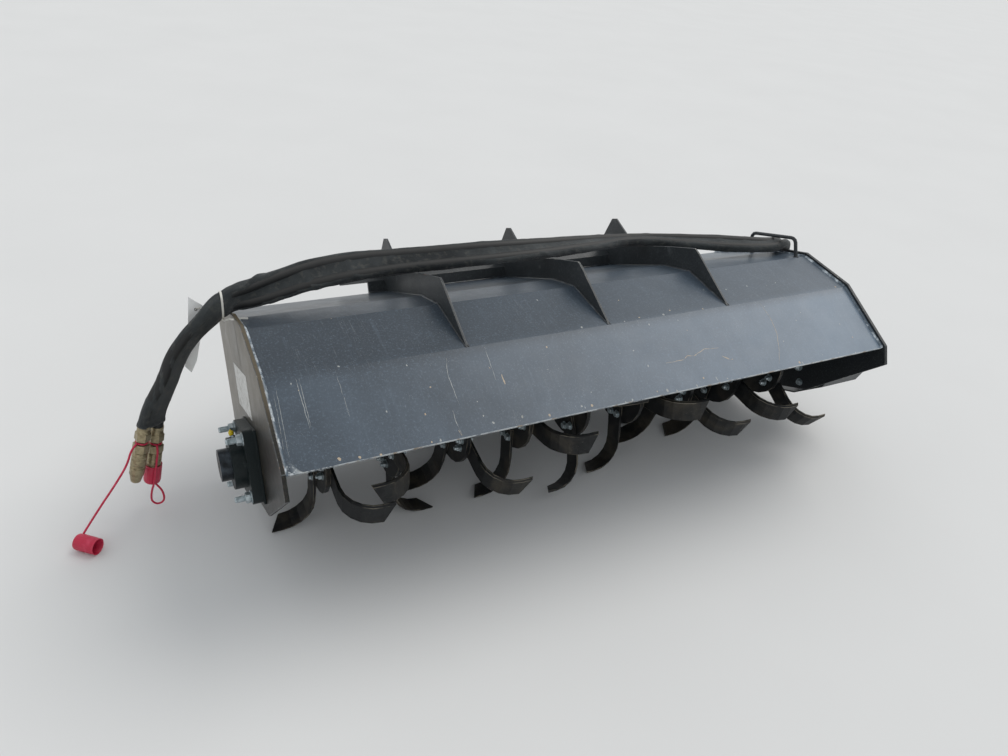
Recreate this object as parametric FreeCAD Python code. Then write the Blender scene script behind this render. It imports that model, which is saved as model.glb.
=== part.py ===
import FreeCAD, Part
import math
import os

# Rotary tiller for a loader, built in its own working frame (mm):
# X to the right as seen from the front, Y backwards to the loader, Z up,
# origin at the foot of the end plates' front chamfer. park() then tips it
# back to the way it stands on the yard: on tine tips and end plate heels.

os.makedirs("parts", exist_ok=True)
V = FreeCAD.Vector

# main sizes
INNER_W = 1829.0          # between the end plates
HALF_W = INNER_W / 2
END_T = 10.0              # end plate thickness
OUT_X = HALF_W + END_T    # outer face of an end plate
SHEET = 6.0               # hood sheet
TILT = 24.29              # parked tilt, degrees
AXIS_Y = 91.5             # rotor axis
AXIS_Z = 126.0
TIP_R = 274.0             # tine tip radius
HEEL_Y = 452.0            # rear bottom corner of the end plates
SIN_T = math.sin(math.radians(TILT))
COS_T = math.cos(math.radians(TILT))
GROUND = TIP_R - (COS_T * AXIS_Z - SIN_T * AXIS_Y)
HEEL_Z = (SIN_T * HEEL_Y - GROUND) / COS_T
SHIFT_Y = -226.65         # puts the middle of the parked outline at y = 0
SEAT = 0.3                # gap of a loose seat
RUN = 0.05                # radial running clearance

# hood, outer profile in (y, z)
HOOD_TOP = 480.3
BACK_Y = 438.0            # hood's back sheet and loader plate's front
HOOD = [(-294.5, 179.2), (-157.3, 364.0), (1.8, 462.7), (121.6, HOOD_TOP), (BACK_Y, HOOD_TOP)]
HOOD_BACK_Z = 250.0       # lower edge of the hood's back sheet

# end plates
PROUD = 12.0              # edge above the hood sheet
PLATE_FRONT = (-305.4, 126.2)
CORNER_Y = 400.0          # cut rear top corner
CORNER_Z = 443.0
BORE_R = 46.0
TIE_HOLE_R = 3.2
TIE_HOLE_Y = 92.0
TIE_HOLE_DROP = 7.0       # below the plate's upper edge

# loader plate
MOUNT_T = 10.0
MOUNT_REAR = BACK_Y + MOUNT_T
MOUNT_HALF = 479.0
LIP_OVER = 86.0           # lip past the upright at each side
MOUNT_TOP = 512.0
MOUNT_FOOT = 100.0
LIP_LEN = 65.0
FOOT_LEN = 58.0
FOOT_DROP = 30.0          # degrees below level
SLOT_IN = 67.0            # slot's middle from the upright's edge
SLOT_OUT = 30.0           # slot's middle from the upright's rear face
SLOT_LEN = 70.0
SLOT_W = 30.0

# square beam behind the rotor
BEAM = 50.0
BEAM_WALL = 5.0
BEAM_Z = 110.0

# gussets over the hood, front edge and peaks in (y, z)
GUSSET_IN = 58.3          # outer gussets' middle from the upright's edge
GUSSET_PITCH = MOUNT_HALF - GUSSET_IN
GUSSET_T = 6.0
GUSSET_PEAKS = [(-38.0, 519.0), (-24.0, 532.0), (0.0, 534.0), (110.0, 541.0),
                (283.0, 546.0), (380.0, 641.0), (405.0, 642.0)]

# hose hoop
HOOP_IN = 36.5            # bar's middle from the end plate
HOOP_R = 6.0
HOOP_SIDES = 8
HOOP = [(9.0, 450.0), (9.0, 511.0), (12.0, 520.0), (19.0, 526.0), (28.0, 528.5), (186.0, 548.5),
        (196.0, 547.5), (204.0, 541.0), (208.0, 531.0), (208.0, 466.0)]

# rotor
TUBE_R = 50.0
TUBE_GAP = 30.5           # tube's end from the end plate
SHAFT_R = 32.5
SHAFT_OUT = 84.5          # bearing end past the plate's outer face
DRIVE_R = 30.0
DRIVE_OUT = 50.0          # motor end past the plate's outer face
RING_COUNT = 9
RING_EDGE = 142.5         # outermost ring from the end plate
RING_PITCH = (INNER_W - 2 * RING_EDGE) / (RING_COUNT - 1)
FLANGE_R = 124.0
FLANGE_T = 12.0
TINE_T = 8.0
TINE_W = 60.0
TINE_ROOT = 62.0          # shank's inner end from the axis
TINE_BEND = 90.0          # outer bend radius
TINE_REACH = 128.0        # from the ring's middle plane
TINE_RAKE = 30.0          # how far the end cut slants
TINE_BEVEL = 5.0
BEND_FACETS = 5
# phase of each ring's left-bent tines, degrees from straight down to the
# front; its right-bent tines stand 90 degrees on. The lowest two rest on
# the ground by their rear tip corners.
REST_PHASE = -TILT - math.degrees(math.asin(TINE_W / 2 / TIP_R))
RING_PHASE = [REST_PHASE, 73.0, -38.0, -16.0, 8.0, -11.0, -35.0, REST_PHASE, -53.0]

# bearing on the left end plate
PAD_T = 6.0
BEARING_SIDE = 187.0
BEARING_CORNER = 24.0
BEARING_T = 24.0
HOUSING_R = 66.0
HOUSING_LEN = 30.5
INSERT_R = 41.0
INSERT_OUT = 87.5         # insert's end past the plate's outer face

# hydraulic motor on the right end plate
MOTOR_SIDE = 150.0
MOTOR_CORNER = 20.0
MOTOR_FLANGE_T = 20.0
MOTOR_R = 60.0
MOTOR_LEN = 130.5
PORT_X = [60.5, 110.5]    # ports' middles past the plate's outer face
PORT_BLOCK = 38.0         # block past the outer ports' middles
PORT_Y = 182.0            # the face that the ports are in
PORT_Z = 165.0
PORT_HALF = 26.0
ELBOW = 26.0
ELBOW_OUT = 36.0
ELBOW_UP = 50.0
GUARD_OUT = 169.5         # guard's end past the plate's outer face
GUARD_T = 6.0
GUARD = [(200.0, -23.0), (66.0, -23.0), (-57.0, 15.0), (-85.0, 44.0), (-85.0, 200.0),
         (-45.0, 240.0), (120.0, 240.0)]
GUARD_REAR = (200.0, 160.0)

# hoses, couplers and dust caps
HOSE_R = 15.0
HOSE_SIDES = 6
ROUND_SIDES = 24          # small round pieces
STRAP_R = 2.8
STRAP_SIDES = 4
NUT_FLAT = 32.0           # hex at the hose
NUT_LEN = 26.0
NECK_R = 12.0
NECK_LEN = 10.0
HEX_FLAT = 36.0
HEX_LEN = 26.0
BARREL_R = 19.0
BARREL_LEN = 70.0
NOSE_R = 13.0
NOSE_LEN = 26.0
COUPLER_LEN = NUT_LEN + NECK_LEN + HEX_LEN + BARREL_LEN + NOSE_LEN
CAP_WALL = 2.6
CAP_R = BARREL_R + SEAT + CAP_WALL
CAP_LEN = 60.0
CAP_FLOOR = 5.0
RING_R = 16.5             # strap ring round a coupler's neck

SHIFT_X = (INSERT_OUT - GUARD_OUT) / 2    # puts the middle of the outline at x = 0


def prism_x(points, x0, x1):
    """Polygon of (y, z) points drawn out along X from x0 to x1."""
    loop = [V(x0, y, z) for y, z in points]
    loop.append(loop[0])
    return Part.Face(Part.makePolygon(loop)).extrude(V(x1 - x0, 0, 0))


def box(x0, x1, y0, y1, z0, z1):
    return Part.makeBox(x1 - x0, y1 - y0, z1 - z0, V(x0, y0, z0))


def rod_x(x0, x1, y, z, r):
    return Part.makeCylinder(r, x1 - x0, V(x0, y, z), V(1, 0, 0))


def square_x(x0, x1, side):
    """Square plate round the rotor axis."""
    half = side / 2
    return box(x0, x1, AXIS_Y - half, AXIS_Y + half, AXIS_Z - half, AXIS_Z + half)


def edges_along_x(shape):
    return [e for e in shape.Edges if abs(e.tangentAt(e.FirstParameter).x) > 0.9]


def fuse(shapes):
    return shapes[0].multiFuse(shapes[1:]).removeSplitter()


def polygon_wire(centre, across, sides, axis, start):
    """Regular polygon about an axis, its first corner toward start."""
    turn = FreeCAD.Rotation(axis, 360.0 / sides)
    arm = V(start)
    points = []
    for _ in range(sides):
        points.append(centre + arm * across)
        arm = turn.multVec(arm)
    points.append(points[0])
    return Part.makePolygon(points)


def flat_wire(z, radius, sides):
    """Level polygon about the Z axis with its corners on the given radius."""
    return polygon_wire(V(0, 0, z), radius, sides, V(0, 0, 1), V(1, 0, 0))


def prism_z(z0, z1, radius, sides):
    return Part.Face(flat_wire(z0, radius, sides)).extrude(V(0, 0, z1 - z0))


def offset_chain(points, gap):
    """Points of an open chain moved sideways (left of travel) by gap."""
    normals = []
    for (y0, z0), (y1, z1) in zip(points, points[1:]):
        length = math.hypot(y1 - y0, z1 - z0)
        normals.append((-(z1 - z0) / length, (y1 - y0) / length))
    out = []
    for i, (y, z) in enumerate(points):
        ay, az = normals[max(i - 1, 0)]
        by, bz = normals[min(i, len(normals) - 1)]
        scale = gap / (1 + ay * by + az * bz)
        out.append((y + (ay + by) * scale, z + (az + bz) * scale))
    return out


def park(shape):
    """Tips a shape from the working frame to the parked one."""
    out = shape.copy()
    out.rotate(V(0, 0, 0), V(1, 0, 0), -TILT)
    out.translate(V(SHIFT_X, SHIFT_Y, GROUND))
    return out


def parked(x, y, z):
    return V(x + SHIFT_X, COS_T * y + SIN_T * z + SHIFT_Y, COS_T * z - SIN_T * y + GROUND)


def along(shape, start, direction):
    """Moves a shape built up from the origin along +Z to start, along direction."""
    out = shape.copy()
    out.Placement = FreeCAD.Placement(start, FreeCAD.Rotation(V(0, 0, 1), direction))
    return out


def save(name, shape):
    shape.exportStep("parts/%s.step" % name)


def save_parked(name, shape):
    save(name, park(shape))


def make_hood():
    """Folded sheet from the low front edge over to the back sheet."""
    outer = HOOD + [(BACK_Y, HOOD_BACK_Z)]
    inner = offset_chain(outer, -SHEET)
    hood = prism_x(outer + inner[::-1], -HALF_W, HALF_W)
    save_parked("hood_shell", hood)
    return hood


def make_end_plates():
    rim = offset_chain(HOOD, PROUD)[:4]
    corner = [(CORNER_Y, HOOD_TOP + PROUD), (HEEL_Y, CORNER_Z)]
    outline = [PLATE_FRONT] + rim + corner + [(HEEL_Y, HEEL_Z), (0.0, 0.0)]
    (y0, z0), (y1, z1) = rim[2], rim[3]
    hole_z = z0 + (z1 - z0) * (TIE_HOLE_Y - y0) / (y1 - y0) - TIE_HOLE_DROP
    for name, x0, x1 in [("end_plate_left", -OUT_X, -HALF_W), ("end_plate_right", HALF_W, OUT_X)]:
        plate = prism_x(outline, x0, x1)
        plate = plate.cut(rod_x(x0 - 1, x1 + 1, AXIS_Y, AXIS_Z, BORE_R))
        if name == "end_plate_left":
            plate = plate.cut(rod_x(x0 - 1, x1 + 1, TIE_HOLE_Y, hole_z, TIE_HOLE_R))
        save_parked(name, plate)


def make_mount():
    """Loader plate: upright, hooked lip and foot with pin slots."""
    c45 = math.sqrt(0.5)
    lip_tip = (MOUNT_REAR + LIP_LEN * c45, MOUNT_TOP + LIP_LEN * c45)
    lip_top = (lip_tip[0] - MOUNT_T * c45, lip_tip[1] + MOUNT_T * c45)
    bend = (BACK_Y, MOUNT_TOP + MOUNT_T * (math.sqrt(2.0) - 1))
    upright = [(BACK_Y, MOUNT_FOOT), (MOUNT_REAR, MOUNT_FOOT), (MOUNT_REAR, MOUNT_TOP), bend]
    save_parked("mount_upright", prism_x(upright, -MOUNT_HALF, MOUNT_HALF))
    lip = [(MOUNT_REAR, MOUNT_TOP), lip_tip, lip_top, bend]
    lip_half = MOUNT_HALF + LIP_OVER
    save_parked("mount_lip", prism_x(lip, -lip_half, lip_half))

    drop = math.radians(FOOT_DROP)
    tip = (MOUNT_REAR + FOOT_LEN * math.cos(drop), MOUNT_FOOT - FOOT_LEN * math.sin(drop))
    low = (tip[0] - MOUNT_T * math.sin(drop), tip[1] - MOUNT_T * math.cos(drop))
    front_z = low[1] + (low[0] - BACK_Y) * math.tan(drop)
    outline = [(BACK_Y, MOUNT_FOOT), (MOUNT_REAR, MOUNT_FOOT), tip, low, (BACK_Y, front_z)]
    foot = prism_x(outline, -MOUNT_HALF, MOUNT_HALF)
    reach = 3 * MOUNT_T
    half = (SLOT_LEN - SLOT_W) / 2
    slot = Part.makeBox(2 * half, SLOT_W, 2 * reach, V(-half, -SLOT_W / 2, -reach))
    ends = [Part.makeCylinder(SLOT_W / 2, 2 * reach, V(s * half, 0, -reach)) for s in (-1, 1)]
    slot = fuse([slot] + ends)
    slot.rotate(V(0, 0, 0), V(1, 0, 0), -FOOT_DROP)
    mid_y = MOUNT_REAR + SLOT_OUT * math.cos(drop)
    mid_z = MOUNT_FOOT - SLOT_OUT * math.sin(drop)
    for side in (-1, 1):
        hole = slot.copy()
        hole.translate(V(side * (MOUNT_HALF - SLOT_IN), mid_y, mid_z))
        foot = foot.cut(hole)
    save_parked("mount_foot", foot)
    return lip_top, bend


def make_beam():
    """Closed square tube between the end plates that carries the plate's foot."""
    y0, z0 = BACK_Y - BEAM, BEAM_Z
    beam = box(-HALF_W, HALF_W, y0, BACK_Y, z0, z0 + BEAM)
    wall = BEAM_WALL
    hollow = box(-HALF_W + wall, HALF_W - wall, y0 + wall, BACK_Y - wall, z0 + wall, z0 + BEAM - wall)
    save_parked("rear_beam", beam.cut(hollow))


def make_gussets(lip_top, bend):
    outline = [HOOD[1]] + GUSSET_PEAKS + [lip_top, bend, HOOD[4], HOOD[3], HOOD[2]]
    for i, name in enumerate(["gusset_left", "gusset_centre", "gusset_right"]):
        x = (i - 1) * GUSSET_PITCH
        save_parked(name, prism_x(outline, x - GUSSET_T / 2, x + GUSSET_T / 2))


def straight_and_arcs(points, cut_share=0.45):
    """Runs and tangent arcs of a route: (start, run vector) or (centre, axis, angle)."""
    pts = [V(*p) for p in points]
    steps = []
    radii = []
    start = pts[0]
    for i in range(1, len(pts) - 1):
        a = pts[i] - pts[i - 1]
        b = pts[i + 1] - pts[i]
        cut = cut_share * min(a.Length, b.Length)
        a.normalize()
        b.normalize()
        angle = a.getAngle(b)
        bend = cut / math.tan(angle / 2)
        radii.append(round(bend))
        enter = pts[i] - a * cut
        inward = b - a
        inward.normalize()
        centre = pts[i] + inward * (bend / math.cos(angle / 2))
        steps.append(("run", enter - start, None))
        steps.append(("arc", centre, (a.cross(b), math.degrees(angle))))
        start = pts[i] + b * cut
    steps.append(("run", pts[-1] - start, None))
    return steps, radii


def tube(name, points, radius, sides):
    """Faceted tube along straight runs joined by tangent arcs."""
    steps, radii = straight_and_arcs(points)
    start = V(*points[0])
    direction = V(*points[1]) - start
    direction.normalize()
    side = direction.cross(V(1, 0, 0))
    side.normalize()
    wire = polygon_wire(start, radius, sides, direction, side)
    faces = [Part.Face(wire)]
    length = 0.0
    for kind, a, turn in steps:
        if kind == "run":
            faces += wire.extrude(a).Faces
            wire.translate(a)
            length += a.Length
        else:
            axis, angle = turn
            faces += wire.revolve(a, axis, angle).Faces
            arm = wire.CenterOfGravity - a
            length += arm.Length * math.radians(angle)
            wire.rotate(a, axis, angle)
    faces.append(Part.Face(wire))
    shell = Part.makeShell(faces)
    shell.sewShape()
    solid = Part.Solid(shell)
    if solid.Volume < 0:
        solid.reverse()
    area = sides / 2 * radius ** 2 * math.sin(2 * math.pi / sides)
    print("%s length %.0f radii %s fill %.4f" % (name, length, radii, solid.Volume / (area * length)))
    return solid


def make_hoop():
    """Bent bar over the hoses at the right end, its ends on the hood."""
    x = HALF_W - HOOP_IN
    section = polygon_wire(V(x, *HOOP[0]), HOOP_R, HOOP_SIDES, V(0, 0, 1), V(1, 0, 0))
    path = Part.makePolygon([V(x, y, z) for y, z in HOOP])
    bar = path.makePipeShell([section], True, True, 1)
    inside = prism_x([(HOOD[0][0], 0.0)] + HOOD + [(BACK_Y, 0.0)], -HALF_W, HALF_W)
    save_parked("hose_hoop", bar.cut(inside))


def make_bearing():
    """Flanged housing on its pad, and the insert that turns with the shaft."""
    x_pad = -OUT_X - PAD_T
    x_flange = x_pad - BEARING_T
    x_house = x_flange - HOUSING_LEN
    pad = square_x(x_pad, -OUT_X, BEARING_SIDE)
    save_parked("bearing_pad", pad.cut(rod_x(x_pad - 1, -OUT_X + 1, AXIS_Y, AXIS_Z, BORE_R)))
    flange = square_x(x_flange, x_pad, BEARING_SIDE)
    flange = flange.makeFillet(BEARING_CORNER, edges_along_x(flange))
    housing = fuse([flange, rod_x(x_house, x_flange, AXIS_Y, AXIS_Z, HOUSING_R)])
    housing = housing.cut(rod_x(x_house - 1, x_pad + 1, AXIS_Y, AXIS_Z, INSERT_R + RUN))
    save_parked("bearing_housing", housing)
    insert = rod_x(-OUT_X - INSERT_OUT, x_pad, AXIS_Y, AXIS_Z, INSERT_R)
    flats = SHAFT_R / math.cos(math.pi / ROUND_SIDES)
    bore = polygon_wire(V(-OUT_X - INSERT_OUT, AXIS_Y, AXIS_Z), flats, ROUND_SIDES, V(1, 0, 0), V(0, 0, 1))
    insert = insert.cut(Part.Face(bore).extrude(V(INSERT_OUT, 0, 0)))
    save_parked("bearing_insert", insert)


def make_motor():
    """Motor with a port block, and two elbows that turn up to the hoses."""
    flange_x = OUT_X + MOTOR_FLANGE_T
    block = box(OUT_X + PORT_X[0] - PORT_BLOCK, OUT_X + PORT_X[1] + PORT_BLOCK / 2, AXIS_Y, PORT_Y,
                PORT_Z - PORT_HALF, PORT_Z + PORT_HALF)
    flange = square_x(OUT_X, flange_x, MOTOR_SIDE)
    flange = flange.makeChamfer(MOTOR_CORNER, edges_along_x(flange))
    motor = fuse([flange,
                  rod_x(flange_x, flange_x + MOTOR_LEN, AXIS_Y, AXIS_Z, MOTOR_R), block])
    motor = motor.cut(rod_x(OUT_X - 1, OUT_X + DRIVE_OUT + 2, AXIS_Y, AXIS_Z, DRIVE_R + RUN))
    save_parked("motor", motor)
    half = ELBOW / 2
    for name, port in zip(["motor_elbow_front", "motor_elbow_rear"], PORT_X):
        x = OUT_X + port
        y = PORT_Y + ELBOW_OUT - half
        arm = box(x - half, x + half, PORT_Y, y + half, PORT_Z - half, PORT_Z + half)
        nut = prism_z(PORT_Z + half, PORT_Z + ELBOW_UP, NUT_FLAT / math.sqrt(3.0), 6)
        nut.translate(V(x, y, 0))
        save_parked(name, fuse([arm, nut]))


def make_guard():
    """Bent strip with an outer plate round the motor, open to the rear."""
    inner = offset_chain(GUARD, -GUARD_T)
    strip = prism_x(GUARD + inner[::-1], OUT_X, OUT_X + GUARD_OUT)
    plate = prism_x(GUARD + [GUARD_REAR], OUT_X + GUARD_OUT - GUARD_T, OUT_X + GUARD_OUT)
    save_parked("motor_guard", fuse([strip, plate]))


def make_rotor_tube():
    tube_end = HALF_W - TUBE_GAP
    shape = fuse([
        rod_x(-tube_end, tube_end, AXIS_Y, AXIS_Z, TUBE_R),
        rod_x(-OUT_X - SHAFT_OUT, -tube_end, AXIS_Y, AXIS_Z, SHAFT_R),
        rod_x(tube_end, OUT_X + DRIVE_OUT, AXIS_Y, AXIS_Z, DRIVE_R),
    ])
    save_parked("rotor_tube", shape)


def tine():
    """C-shaped blade standing up +Z from the flange's face, bent to +X."""
    tip_z = math.sqrt(TIP_R ** 2 - (TINE_W / 2) ** 2)
    face = FLANGE_T / 2
    centre_x = face + TINE_BEND
    centre_z = tip_z - TINE_BEND
    outer = [(face, TINE_ROOT)]
    inner = [(face + TINE_T, TINE_ROOT)]
    for k in range(BEND_FACETS + 1):
        turn = math.radians(90.0 * k / BEND_FACETS)
        for chain, r in ((outer, TINE_BEND), (inner, TINE_BEND - TINE_T)):
            chain.append((centre_x - r * math.cos(turn), centre_z + r * math.sin(turn)))
    outer.append((TINE_REACH, tip_z))
    inner.append((TINE_REACH, tip_z - TINE_T))
    half = TINE_W / 2
    loop = [V(x, -half, z) for x, z in outer + inner[::-1]]
    loop.append(loop[0])
    blade = Part.Face(Part.makePolygon(loop)).extrude(V(0, TINE_W, 0))

    # slanted end, longer at the leading side
    cut = [V(TINE_REACH, half, 0), V(TINE_REACH - TINE_RAKE, -half, 0), V(TINE_REACH + 1, -half, 0)]
    cut.append(cut[0])
    blade = blade.cut(Part.Face(Part.makePolygon(cut)).extrude(V(0, 0, TIP_R)))

    # bevel along the leading side of the outer face
    bevel = []
    for e in blade.Edges:
        ends = [v.Point for v in e.Vertexes]
        lead = all(abs(p.y - half) < 0.01 for p in ends)
        on_outer = all(any(math.hypot(p.x - x, p.z - z) < 0.01 for x, z in outer) for p in ends)
        if lead and on_outer and max(p.z for p in ends) > centre_z + 1:
            bevel.append(e)
    return blade.makeChamfer(TINE_BEVEL, bevel)


def make_tine_rings():
    """Flange with four tines bolted on, bent to the left and right in turn."""
    rim = polygon_wire(V(-FLANGE_T / 2, 0, 0), FLANGE_R, ROUND_SIDES, V(1, 0, 0), V(0, 0, 1))
    flange = Part.Face(rim).extrude(V(FLANGE_T, 0, 0))
    flange = flange.cut(rod_x(-FLANGE_T, FLANGE_T, 0, 0, TUBE_R))
    right = tine()
    left = right.mirror(V(0, 0, 0), V(1, 0, 0))
    blades = []
    for k in range(4):
        blade = (left, right)[k % 2].copy()
        blade.rotate(V(0, 0, 0), V(1, 0, 0), 180.0 - 90.0 * k)
        blades.append(blade)
    ring = fuse([flange] + blades)
    for i, phase in enumerate(RING_PHASE):
        turned = ring.copy()
        turned.rotate(V(0, 0, 0), V(1, 0, 0), -phase)
        turned.translate(V((i - (RING_COUNT - 1) / 2) * RING_PITCH, AXIS_Y, AXIS_Z))
        save_parked("tine_ring_%d" % (i + 1), turned)


def coupler():
    """Quick coupler along +Z: nut at the hose, neck, hex, barrel, tapered nose."""
    z1 = NUT_LEN
    z2 = z1 + NECK_LEN
    z3 = z2 + HEX_LEN
    z4 = z3 + BARREL_LEN
    return fuse([
        prism_z(0, z1, NUT_FLAT / math.sqrt(3.0), 6),
        prism_z(z1, z2, NECK_R, ROUND_SIDES),
        prism_z(z2, z3, HEX_FLAT / math.sqrt(3.0), 6),
        prism_z(z3, z4, BARREL_R, ROUND_SIDES),
        Part.makeLoft([flat_wire(z4, BARREL_R, ROUND_SIDES),
                       flat_wire(z4 + NOSE_LEN, NOSE_R, ROUND_SIDES)], True, True),
    ])


def dust_cap():
    """Cup along +Z with its mouth at the origin and its floor at the far end."""
    cup = prism_z(0, CAP_LEN, CAP_R, ROUND_SIDES)
    return cup.cut(prism_z(-1, CAP_LEN - CAP_FLOOR, CAP_R - CAP_WALL, ROUND_SIDES))


def strap_ring():
    """Ring round a coupler's neck, along +Z from the coupler's start."""
    z0 = NUT_LEN + NECK_LEN / 2 - STRAP_R
    ring = prism_z(z0, z0 + 2 * STRAP_R, RING_R, ROUND_SIDES)
    return ring.cut(prism_z(z0 - 1, z0 + 2 * STRAP_R + 1, NECK_R + SEAT, ROUND_SIDES))


# hose routes: working frame up to the left end plate, then the parked one
# columns: x, y and z of the front hose, x, y and z of the rear hose
ELBOW_Y = PORT_Y + ELBOW_OUT - ELBOW / 2
ELBOW_TOP = PORT_Z + ELBOW_UP
HOSE_ON_HOOD = [
    (OUT_X + PORT_X[0], ELBOW_Y, ELBOW_TOP, OUT_X + PORT_X[1], ELBOW_Y, ELBOW_TOP),
    (985.0, 205.0, 300.0, 1035.0, 205.0, 300.0),
    (992.0, 198.0, 385.0, 1038.0, 211.0, 378.0),
    (985.0, 168.0, 452.0, 1022.0, 205.0, 456.0),
    (955.0, 122.0, 503.0, 973.0, 170.0, 507.0),
    (902.0, 80.0, 510.5, 905.0, 122.0, 517.0),
    (840.0, 64.0, 500.0, 840.0, 99.0, 519.0),
    (760.0, 82.0, 505.5, 760.0, 120.0, 530.0),
    (670.0, 121.0, 517.0, 670.0, 160.0, 543.0),
    (540.0, 180.0, 540.0, 540.0, 215.0, 560.0),
    (400.0, 232.0, 565.0, 400.0, 270.0, 574.0),
    (220.0, 196.0, 562.0, 220.0, 231.0, 582.0),
    (0.0, 143.0, 558.5, 0.0, 176.0, 588.0),
    (-210.0, 128.0, 559.0, -210.0, 153.0, 595.0),
    (-420.0, 148.0, 559.5, -420.0, 176.0, 596.0),
    (-590.0, 158.0, 555.0, -590.0, 184.0, 600.0),
    (-710.0, 163.0, 543.0, -710.0, 177.0, 590.0),
    (-805.0, 163.0, 524.0, -805.0, 160.0, 569.0),
    (-868.0, 156.0, 514.0, -868.0, 143.0, 554.0),
    (-908.0, 151.5, 515.5, -920.0, 130.0, 543.0),
]
HOSE_FREE = [
    (-978.0, 119.5, 594.5, -1003.0, 106.0, 620.0),
    (-1004.0, 116.0, 577.0, -1039.0, 99.0, 593.0),
    (-1056.0, 120.0, 510.0, -1078.0, 95.0, 550.0),
    (-1093.0, 123.0, 452.0, -1116.0, 93.0, 495.0),
    (-1129.0, 124.0, 382.0, -1153.0, 92.0, 430.0),
    (-1165.0, 121.0, 313.0, -1189.0, 92.0, 353.0),
    (-1177.0, 122.0, 254.0, -1207.0, 92.0, 285.0),
]
# dust cap straps in the parked frame, from the neck ring to the cap
STRAP_REAR = [(-1226.4, 82.8, 258.1), (-1242.4, 72.4, 249.9), (-1257.0, 64.0, 211.4),
              (-1295.8, 52.0, 160.0), (-1339.9, 46.0, 103.1), (-1387.8, 41.1, 34.5)]
STRAP_FRONT = [(-1181.8, 107.6, 223.1), (-1181.7, 91.8, 215.9), (-1189.5, 94.9, 178.5),
               (-1203.5, 96.1, 109.9), (-1214.0, 99.0, 81.9), (-1220.0, 102.0, 48.0),
               (-1215.5, 104.0, 32.9), (-1206.5, 105.0, 24.2), (-1194.0, 106.0, 25.5),
               (-1186.9, 107.5, 36.0), (-1188.0, 112.0, 60.0), (-1199.5, 120.0, 80.0),
               (-1209.8, 124.7, 92.8)]
CAP_GROUND = (-1359.0, -8.0)      # mouth of the cap that lies on the ground
CAP_BACK = (-1408.0, 33.0)        # toward its closed end


def make_hoses():
    """The two hoses, with a coupler, a dust cap and a strap on each."""
    part = coupler()
    ring = strap_ring()
    for k, name in enumerate(["front", "rear"]):
        points = [tuple(parked(*row[3 * k:3 * k + 3])) for row in HOSE_ON_HOOD]
        points += [row[3 * k:3 * k + 3] for row in HOSE_FREE]
        save("hose_" + name, tube("hose_" + name, points, HOSE_R, HOSE_SIDES))
        end = V(*points[-1])
        way = end - V(*points[-2])
        way.normalize()
        save("coupler_" + name, along(part, end, way))
        if name == "front":
            mouth = end + way * (COUPLER_LEN + SEAT + CAP_FLOOR - CAP_LEN)
            cap = along(dust_cap(), mouth, way)
            strap = tube("cap_strap_front", STRAP_FRONT, STRAP_R, STRAP_SIDES)
        else:
            mouth = V(CAP_GROUND[0], CAP_GROUND[1], CAP_R)
            cap = along(dust_cap(), mouth, V(CAP_BACK[0], CAP_BACK[1], CAP_R) - mouth)
            strap = tube("cap_strap_rear", STRAP_REAR, STRAP_R, STRAP_SIDES)
        save("dust_cap_" + name, cap)
        save("cap_strap_" + name, fuse([along(ring, end, way), strap]))


make_hood()
make_end_plates()
lip_top, lip_bend = make_mount()
make_beam()
make_gussets(lip_top, lip_bend)
make_hoop()
make_bearing()
make_motor()
make_guard()
make_rotor_tube()
make_tine_rings()
make_hoses()
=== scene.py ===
import bmesh
import bpy
import math
import random
from mathutils import Matrix, Vector, noise


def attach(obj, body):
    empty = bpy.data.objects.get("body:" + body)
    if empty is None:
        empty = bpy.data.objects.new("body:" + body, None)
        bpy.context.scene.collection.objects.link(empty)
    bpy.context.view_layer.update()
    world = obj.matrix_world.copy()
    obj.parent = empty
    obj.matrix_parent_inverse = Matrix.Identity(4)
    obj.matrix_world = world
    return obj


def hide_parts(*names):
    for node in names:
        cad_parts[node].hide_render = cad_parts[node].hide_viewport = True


# Rotary tiller, parked on the ground. Places marked "own" are in the working
# frame in millimetres: X to the right, Y backwards, Z up, as the machine works.
# PARK takes them to the parked frame in metres, the frame of the loaded model.

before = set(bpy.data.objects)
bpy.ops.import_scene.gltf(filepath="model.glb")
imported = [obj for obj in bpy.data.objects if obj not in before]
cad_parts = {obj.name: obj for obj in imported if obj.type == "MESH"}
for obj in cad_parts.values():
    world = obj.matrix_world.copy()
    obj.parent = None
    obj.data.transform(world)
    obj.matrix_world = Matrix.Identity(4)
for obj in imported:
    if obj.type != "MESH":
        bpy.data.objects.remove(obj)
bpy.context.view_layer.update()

MM = 0.001
TILT_DEGREES = 24.29
TILT = math.radians(TILT_DEGREES)
SHIFT = (-41.0, -226.65, 196.79)
PARK = (Matrix.Translation(Vector(SHIFT) * MM) @ Matrix.Rotation(-TILT, 4, "X")
        @ Matrix.Scale(MM, 4))
PARKED_MM = Matrix.Scale(MM, 4)   # for pieces given in the parked frame, millimetres
METRES = Matrix.Identity(4)       # for pieces given in the parked frame, metres

# sizes that the looks share with the construction, own frame
HALF_W = 914.5            # inner faces of the end plates
OUT_X = 924.5             # outer faces of the end plates
AXIS_Y = 91.5
AXIS_Z = 126.0
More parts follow.
